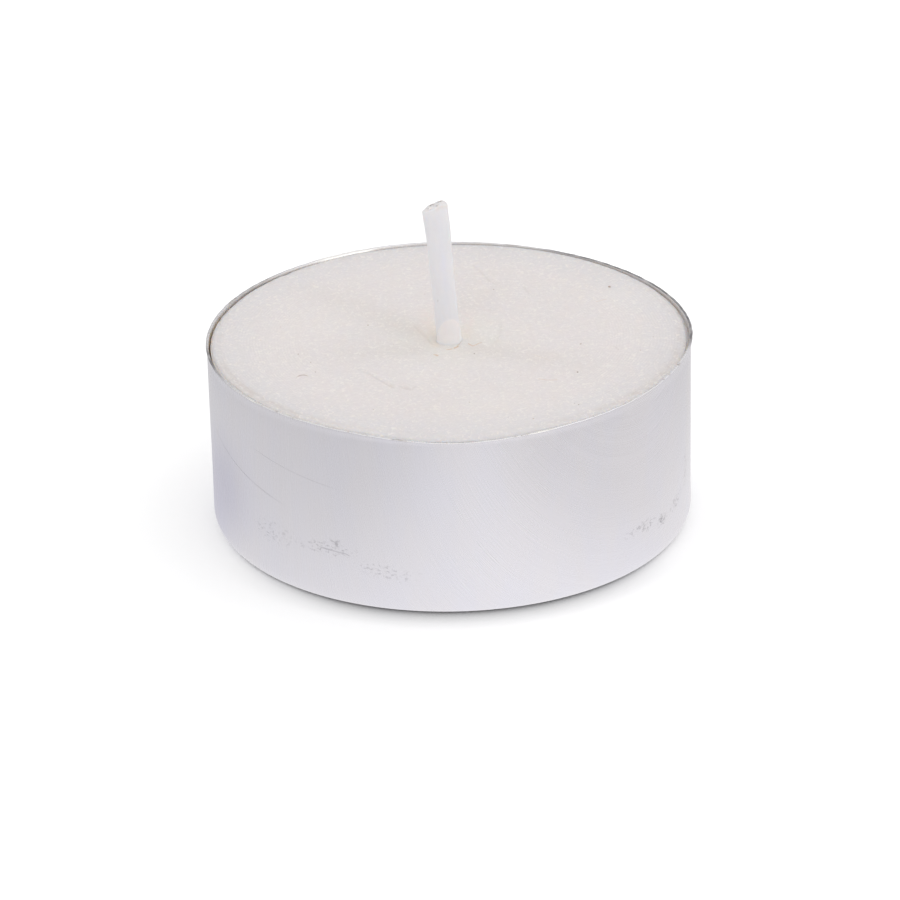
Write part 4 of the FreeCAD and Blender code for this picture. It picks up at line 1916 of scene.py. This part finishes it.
@dataclass
class DustSpecks:
    """Specks of dirt and one curved fibre, half sunk in the wax's top."""

    wax: WaxCake
    specks: tuple[tuple[float, float, float], ...] = (
        (-6.4, 2.9, 0.10), (-13.3, 2.8, 0.06), (-10.8, -4.1, 0.08), (-11.8, -2.5, 0.09), (-10.4, -6.0, 0.07),
        (-4.4, -0.9, 0.06), (-14.8, 0.3, 0.07), (12.85, 9.6, 0.17), (10.2, -1.6, 0.10), (9.8, -6.9, 0.10),
        (9.7, -13.0, 0.08), (9.4, -12.7, 0.06), (6.2, -15.4, 0.09), (4.3, -15.0, 0.05), (1.4, -12.1, 0.06),
        (14.8, -3.0, 0.07), (15.9, -0.5, 0.06), (16.6, -5.4, 0.05), (3.6, 9.6, 0.07), (1.9, -2.9, 0.09),
        (5.4, -7.4, 0.04), (-8.2, 6.9, 0.04), (-1.9, 8.8, 0.05), (-5.9, -13.1, 0.06), (7.7, 3.4, 0.04),
    )
    fibre: tuple[Place, ...] = ((-11.85, -6.95), (-11.65, -6.5), (-11.3, -6.4), (-10.95, -6.75))
    fibre_radius: float = 0.02
    size_share: float = 0.68
    flatness: float = 0.55
    finish: DarkDust = field(default_factory=DarkDust)

    def grain(self, place: tuple[float, float, float], draw: np.random.Generator) -> tuple[np.ndarray, list]:
        """One lumpy speck.

        Args:
            place: X, Y and size of the speck.
            draw: Random numbers.

        Returns:
            Points and faces.
        """
        rings = 5
        columns = 8
        x, y, size = place
        size = size * self.size_share
        level = self.wax.surface(x, y)
        stretch = draw.uniform(0.7, 1.4)
        turn = draw.uniform(0.0, math.pi)
        points = [[0.0, 0.0, -1.0]]
        for ring in range(1, rings):
            tilt = math.pi * ring / rings
            for column in range(columns):
                around = 2.0 * math.pi * column / columns
                lump = draw.uniform(0.8, 1.15)
                points.append([
                    lump * math.sin(tilt) * math.cos(around),
                    lump * math.sin(tilt) * math.sin(around),
                    -lump * math.cos(tilt),
                ])
        points.append([0.0, 0.0, 1.0])
        shape = np.array(points) * size
        shape[:, 0] *= stretch
        shape[:, 2] *= self.flatness
        spin = np.array([[math.cos(turn), -math.sin(turn)], [math.sin(turn), math.cos(turn)]])
        shape[:, :2] = shape[:, :2] @ spin.T
        shape += np.array([x, y, level])
        faces = Lathe.closed_faces(rings - 1, columns, 1, 0, len(points) - 1)
        return shape, faces

    def hair(self) -> tuple[np.ndarray, list]:
        """The curved fibre.

        Returns:
            Points and faces.
        """
        knots = np.array(self.fibre)
        steps = np.linspace(0.0, 1.0, 17)
        left = 1.0 - steps
        weights = [left**3, 3.0 * steps * left**2, 3.0 * steps**2 * left, steps**3]
        path = sum(weight[:, None] * knot[None, :] for weight, knot in zip(weights, knots))
        columns = 6
        rows = []
        for step, (x, y) in enumerate(path):
            ahead = path[min(step + 1, len(path) - 1)] - path[max(step - 1, 0)]
            ahead = ahead / np.hypot(*ahead)
            sideways = np.array([-ahead[1], ahead[0]])
            level = self.wax.surface(float(x), float(y)) + 0.008
            share = 0.06 + 0.88 * step / (len(path) - 1)
            thin = self.fibre_radius * (0.35 + 0.65 * math.sin(math.pi * share))
            ring = []
            for column in range(columns):
                around = 2.0 * math.pi * column / columns
                off = thin * math.cos(around)
                ring.append([x + sideways[0] * off, y + sideways[1] * off, level + thin * math.sin(around)])
            rows.append(ring)
        rings = np.array(rows)
        count = len(path) * columns
        ends = np.array([rings[0].mean(0), rings[-1].mean(0)])
        faces = Lathe.closed_faces(len(path), columns, 0, count, count + 1)
        return np.vstack([rings.reshape(-1, 3), ends]), faces

    def build(self) -> bpy.types.Object:
        """Build the specks and the fibre as one object.

        Returns:
            The object.
        """
        draw = np.random.default_rng(61)
        bits = [self.grain(place, draw) for place in self.specks]
        bits.append(self.hair())
        points = []
        faces: list[tuple[int, ...]] = []
        start = 0
        for shape, shape_faces in bits:
            if Lathe.signed_volume(shape - shape.mean(0), shape_faces) < 0.0:
                shape_faces = [tuple(reversed(face)) for face in shape_faces]
            faces += [tuple(start + corner for corner in face) for face in shape_faces]
            points.append(shape)
            start += len(shape)
        return Lathe.object_from("wax_specks", np.vstack(points), faces)

    def dress(self, piece: bpy.types.Object) -> None:
        """Give the specks their finish."""
        piece.data.materials.append(self.finish.material())
        seat(piece, Slot.WAX)


@dataclass
class Sustainer:
    """Stamped steel sustainer that holds the wick's foot: the CAD mesh with a steel finish."""

    node: str = "wick_sustainer"
    finish: TinnedSteel = field(default_factory=TinnedSteel)

    def dress(self) -> None:
        """Put the steel finish on the CAD node."""
        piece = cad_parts[self.node]
        material = self.finish.material()
        if not piece.material_slots:
            piece.data.materials.append(material)
        for slot in piece.material_slots:
            slot.material = material
        log.info("%s: CAD mesh with %s", self.node, material.name)


@dataclass
class PhotoCamera:
    """Camera of the photograph, from the least squares fit of the cup's outline."""

    target: tuple[float, float, float] = (-0.136, 0.0, 5.28)
    distance: float = 407.6
    elevation: float = 25.02
    roll: float = 1.094
    lens: float = 206.4
    sensor: float = 36.0
    nearest: float = 0.01
    farthest: float = 20.0

    def build(self) -> None:
        """Create the camera and make it the scene's own."""
        high = math.radians(self.elevation)
        roll = math.radians(self.roll)
        back = Vector((0.0, -math.cos(high), math.sin(high)))
        level = Vector((1.0, 0.0, 0.0))
        rising = Vector((0.0, math.sin(high), math.cos(high)))
        right = level * math.cos(roll) - rising * math.sin(roll)
        upward = level * math.sin(roll) + rising * math.cos(roll)
        spot = (Vector(self.target) + back * self.distance) * MM
        data = bpy.data.cameras.new("photo_camera")
        data.lens = self.lens
        data.sensor_width = self.sensor
        data.clip_start = self.nearest
        data.clip_end = self.farthest
        camera = bpy.data.objects.new("photo_camera", data)
        rows = [[right[axis], upward[axis], back[axis], spot[axis]] for axis in range(3)]
        camera.matrix_world = Matrix([*rows, [0.0, 0.0, 0.0, 1.0]])
        bpy.context.scene.collection.objects.link(camera)
        bpy.context.scene.camera = camera


@dataclass
class Studio:
    """White table and sweep of light round the candle: brighter on the right, dimmer on the left."""

    floor_radius: float = 1.6
    floor_columns: int = 96
    right_light: float = 0.99
    left_light: float = 0.92
    overhead_light: float = 0.95
    right_gloss: float = 1.00
    left_gloss: float = 0.66
    back_gloss: float = 0.80
    key_power: float = 0.30
    key_place: tuple[float, float, float] = (0.25, -0.05, 0.62)
    key_size: float = 0.45
    floor_glow: float = 0.20
    contact_reach: float = 2.3
    contact_softness: float = 0.5
    side_softness: float = 0.07
    left_softness: float = 0.60
    mirror_near: float = 0.985
    mirror_far: float = 0.88
    mirror_left: float = 0.80
    mirror_right: Colour = (0.875, 0.868, 0.855)
    mirror_back: float = 0.96
    mirror_shade: Colour = (0.80, 0.80, 0.87)
    shade_place: Place = (-22.3, 4.0)

    def build(self) -> None:
        """Build the floor, the world and the lamp."""
        self.build_floor()
        self.build_world()
        self.build_key()

    def build_floor(self) -> None:
        """Build the round table top, whose underside can be seen through."""
        turn = np.arange(self.floor_columns) * 2.0 * math.pi / self.floor_columns
        rim = np.stack([np.cos(turn), np.sin(turn), np.zeros_like(turn)], -1) * self.floor_radius
        points = np.vstack([rim, [0.0, 0.0, 0.0]])
        faces = Lathe.fan(self.floor_columns, 0, self.floor_columns, True)
        mesh = bpy.data.meshes.new("table_top")
        mesh.from_pydata(points.tolist(), [], faces)
        floor = bpy.data.objects.new("table_top", mesh)
        bpy.context.scene.collection.objects.link(floor)
        mesh.materials.append(self.floor_material())

    def floor_material(self) -> bpy.types.Material:
        """White table that keeps the candle's shadow; in the metal's reflections it glows, with a painted
        shadow.

        Returns:
            The material.
        """
        sheet, material = NodeSheet.for_material("white_table")
        x, y, _ = sheet.parts(sheet.place_mm())
        rays = sheet.add("LightPath")
        contact = sheet.add("AmbientOcclusion", samples=4)
        contact.inputs["Distance"].default_value = self.contact_reach * MM
        seen_by_camera = rays.outputs["Is Camera Ray"]
        softness = sheet.remap(y, -18.0, -7.5, self.contact_softness, self.side_softness)
        softness = sheet.math("MULTIPLY", softness, sheet.remap(x, -15.0, -5.0, self.left_softness, 1.0))
        shade = sheet.math("POWER", contact.outputs["AO"], softness)
        near = sheet.blend(seen_by_camera, (1.0, 1.0, 1.0), sheet.combine(shade, shade, shade))
        matt = sheet.join("BsdfDiffuse", sheet.blend(1.0, (0.93, 0.93, 0.93), near, "MULTIPLY"))
        glow = sheet.join("Emission", near, sheet.math("MULTIPLY", seen_by_camera, self.floor_glow))
        lit = sheet.join("AddShader", matt, glow)
        out = sheet.vector("LENGTH", sheet.combine(x, y, 0.0))
        level = sheet.remap(out, 20.0, 60.0, self.mirror_near, self.mirror_far)
        level = sheet.math("MULTIPLY", level, sheet.remap(x, 10.0, -32.0, 1.0, self.mirror_left))
        level = sheet.math("MULTIPLY", level, sheet.remap(y, 0.0, 20.0, 1.0, self.mirror_back))
        tint = sheet.blend(sheet.remap(x, 6.0, 34.0), (1.0, 1.0, 1.0), self.mirror_right)
        # Painted shadow in the glow that the metal sees, at the candle's left.
        away = sheet.vector("LENGTH", sheet.combine(
            sheet.math("SUBTRACT", x, self.shade_place[0]),
            sheet.math("SUBTRACT", y, self.shade_place[1]),
            0.0,
        ))
        tint = sheet.blend(sheet.remap(away, 15.0, 2.0), tint, self.mirror_shade)
        mirror = sheet.join("Emission", tint, level)
        polished = sheet.math("MAXIMUM", rays.outputs["Is Glossy Ray"], rays.outputs["Is Transmission Ray"])
        seen = sheet.join("MixShader", polished, lit, mirror)
        underneath = sheet.add("NewGeometry").outputs["Backfacing"]
        sheet.finish(sheet.join("MixShader", underneath, seen, sheet.join("BsdfTransparent")))
        return material

    def build_world(self) -> None:
        """Even tent of light, white where the camera sees it."""
        world = bpy.data.worlds.new("studio_tent")
        world.use_nodes = True
        sheet = NodeSheet(world.node_tree)
        way = sheet.vector("NORMALIZE", sheet.add("TexCoord").outputs["Generated"])
        x, y, z = sheet.parts(way)
        rays = sheet.add("LightPath")
        gloss = sheet.math("MULTIPLY", sheet.remap(x, -0.9, 0.9, self.left_gloss, self.right_gloss),
                           sheet.remap(y, 0.0, 0.8, 1.0, self.back_gloss))
        matt = sheet.remap(x, -0.9, 0.9, self.left_light, self.right_light)
        glossy = rays.outputs["Is Glossy Ray"]
        sides = sheet.math("ADD", sheet.math("MULTIPLY", gloss, glossy),
                           sheet.math("MULTIPLY", matt, sheet.math("SUBTRACT", 1.0, glossy)))
        mix = sheet.remap(z, 0.35, 0.95)
        level = sheet.math("ADD", sheet.math("MULTIPLY", sides, sheet.math("SUBTRACT", 1.0, mix)),
                           sheet.math("MULTIPLY", mix, self.overhead_light))
        camera = rays.outputs["Is Camera Ray"]
        unseen = sheet.math("MULTIPLY", level, sheet.math("SUBTRACT", 1.0, camera))
        shown = sheet.math("ADD", unseen, camera)
        sheet.finish(sheet.join("Background", (1.0, 1.0, 1.0), shown), Output.WORLD)
        bpy.context.scene.world = world

    def build_key(self) -> None:
        """Soft lamp above and to the right."""
        data = bpy.data.lights.new("softbox", "AREA")
        data.energy = self.key_power
        data.shape = "DISK"
        data.size = self.key_size
        lamp = bpy.data.objects.new("softbox", data)
        lamp.location = self.key_place
        lamp.rotation_euler = (-Vector(self.key_place)).to_track_quat("-Z", "Y").to_euler()
        bpy.context.scene.collection.objects.link(lamp)


def set_view() -> None:
    """Plain colour handling."""
    bpy.context.scene.view_settings.view_transform = "Standard"


def main() -> None:
    """Build the camera, the studio and each piece of the candle."""
    logging.basicConfig(level=logging.INFO, format="%(name)s: %(message)s")
    set_view()
    PhotoCamera().build()
    Studio().build()
    cup = CupShell()
    cup.dress(cup.build())
    wax = WaxCake()
    wax.dress(wax.build())
    wick = WaxedWick()
    wick.dress(wick.build())
    specks = DustSpecks(wax)
    specks.dress(specks.build())
    Sustainer().dress()


if __name__ == "__main__":
    main()
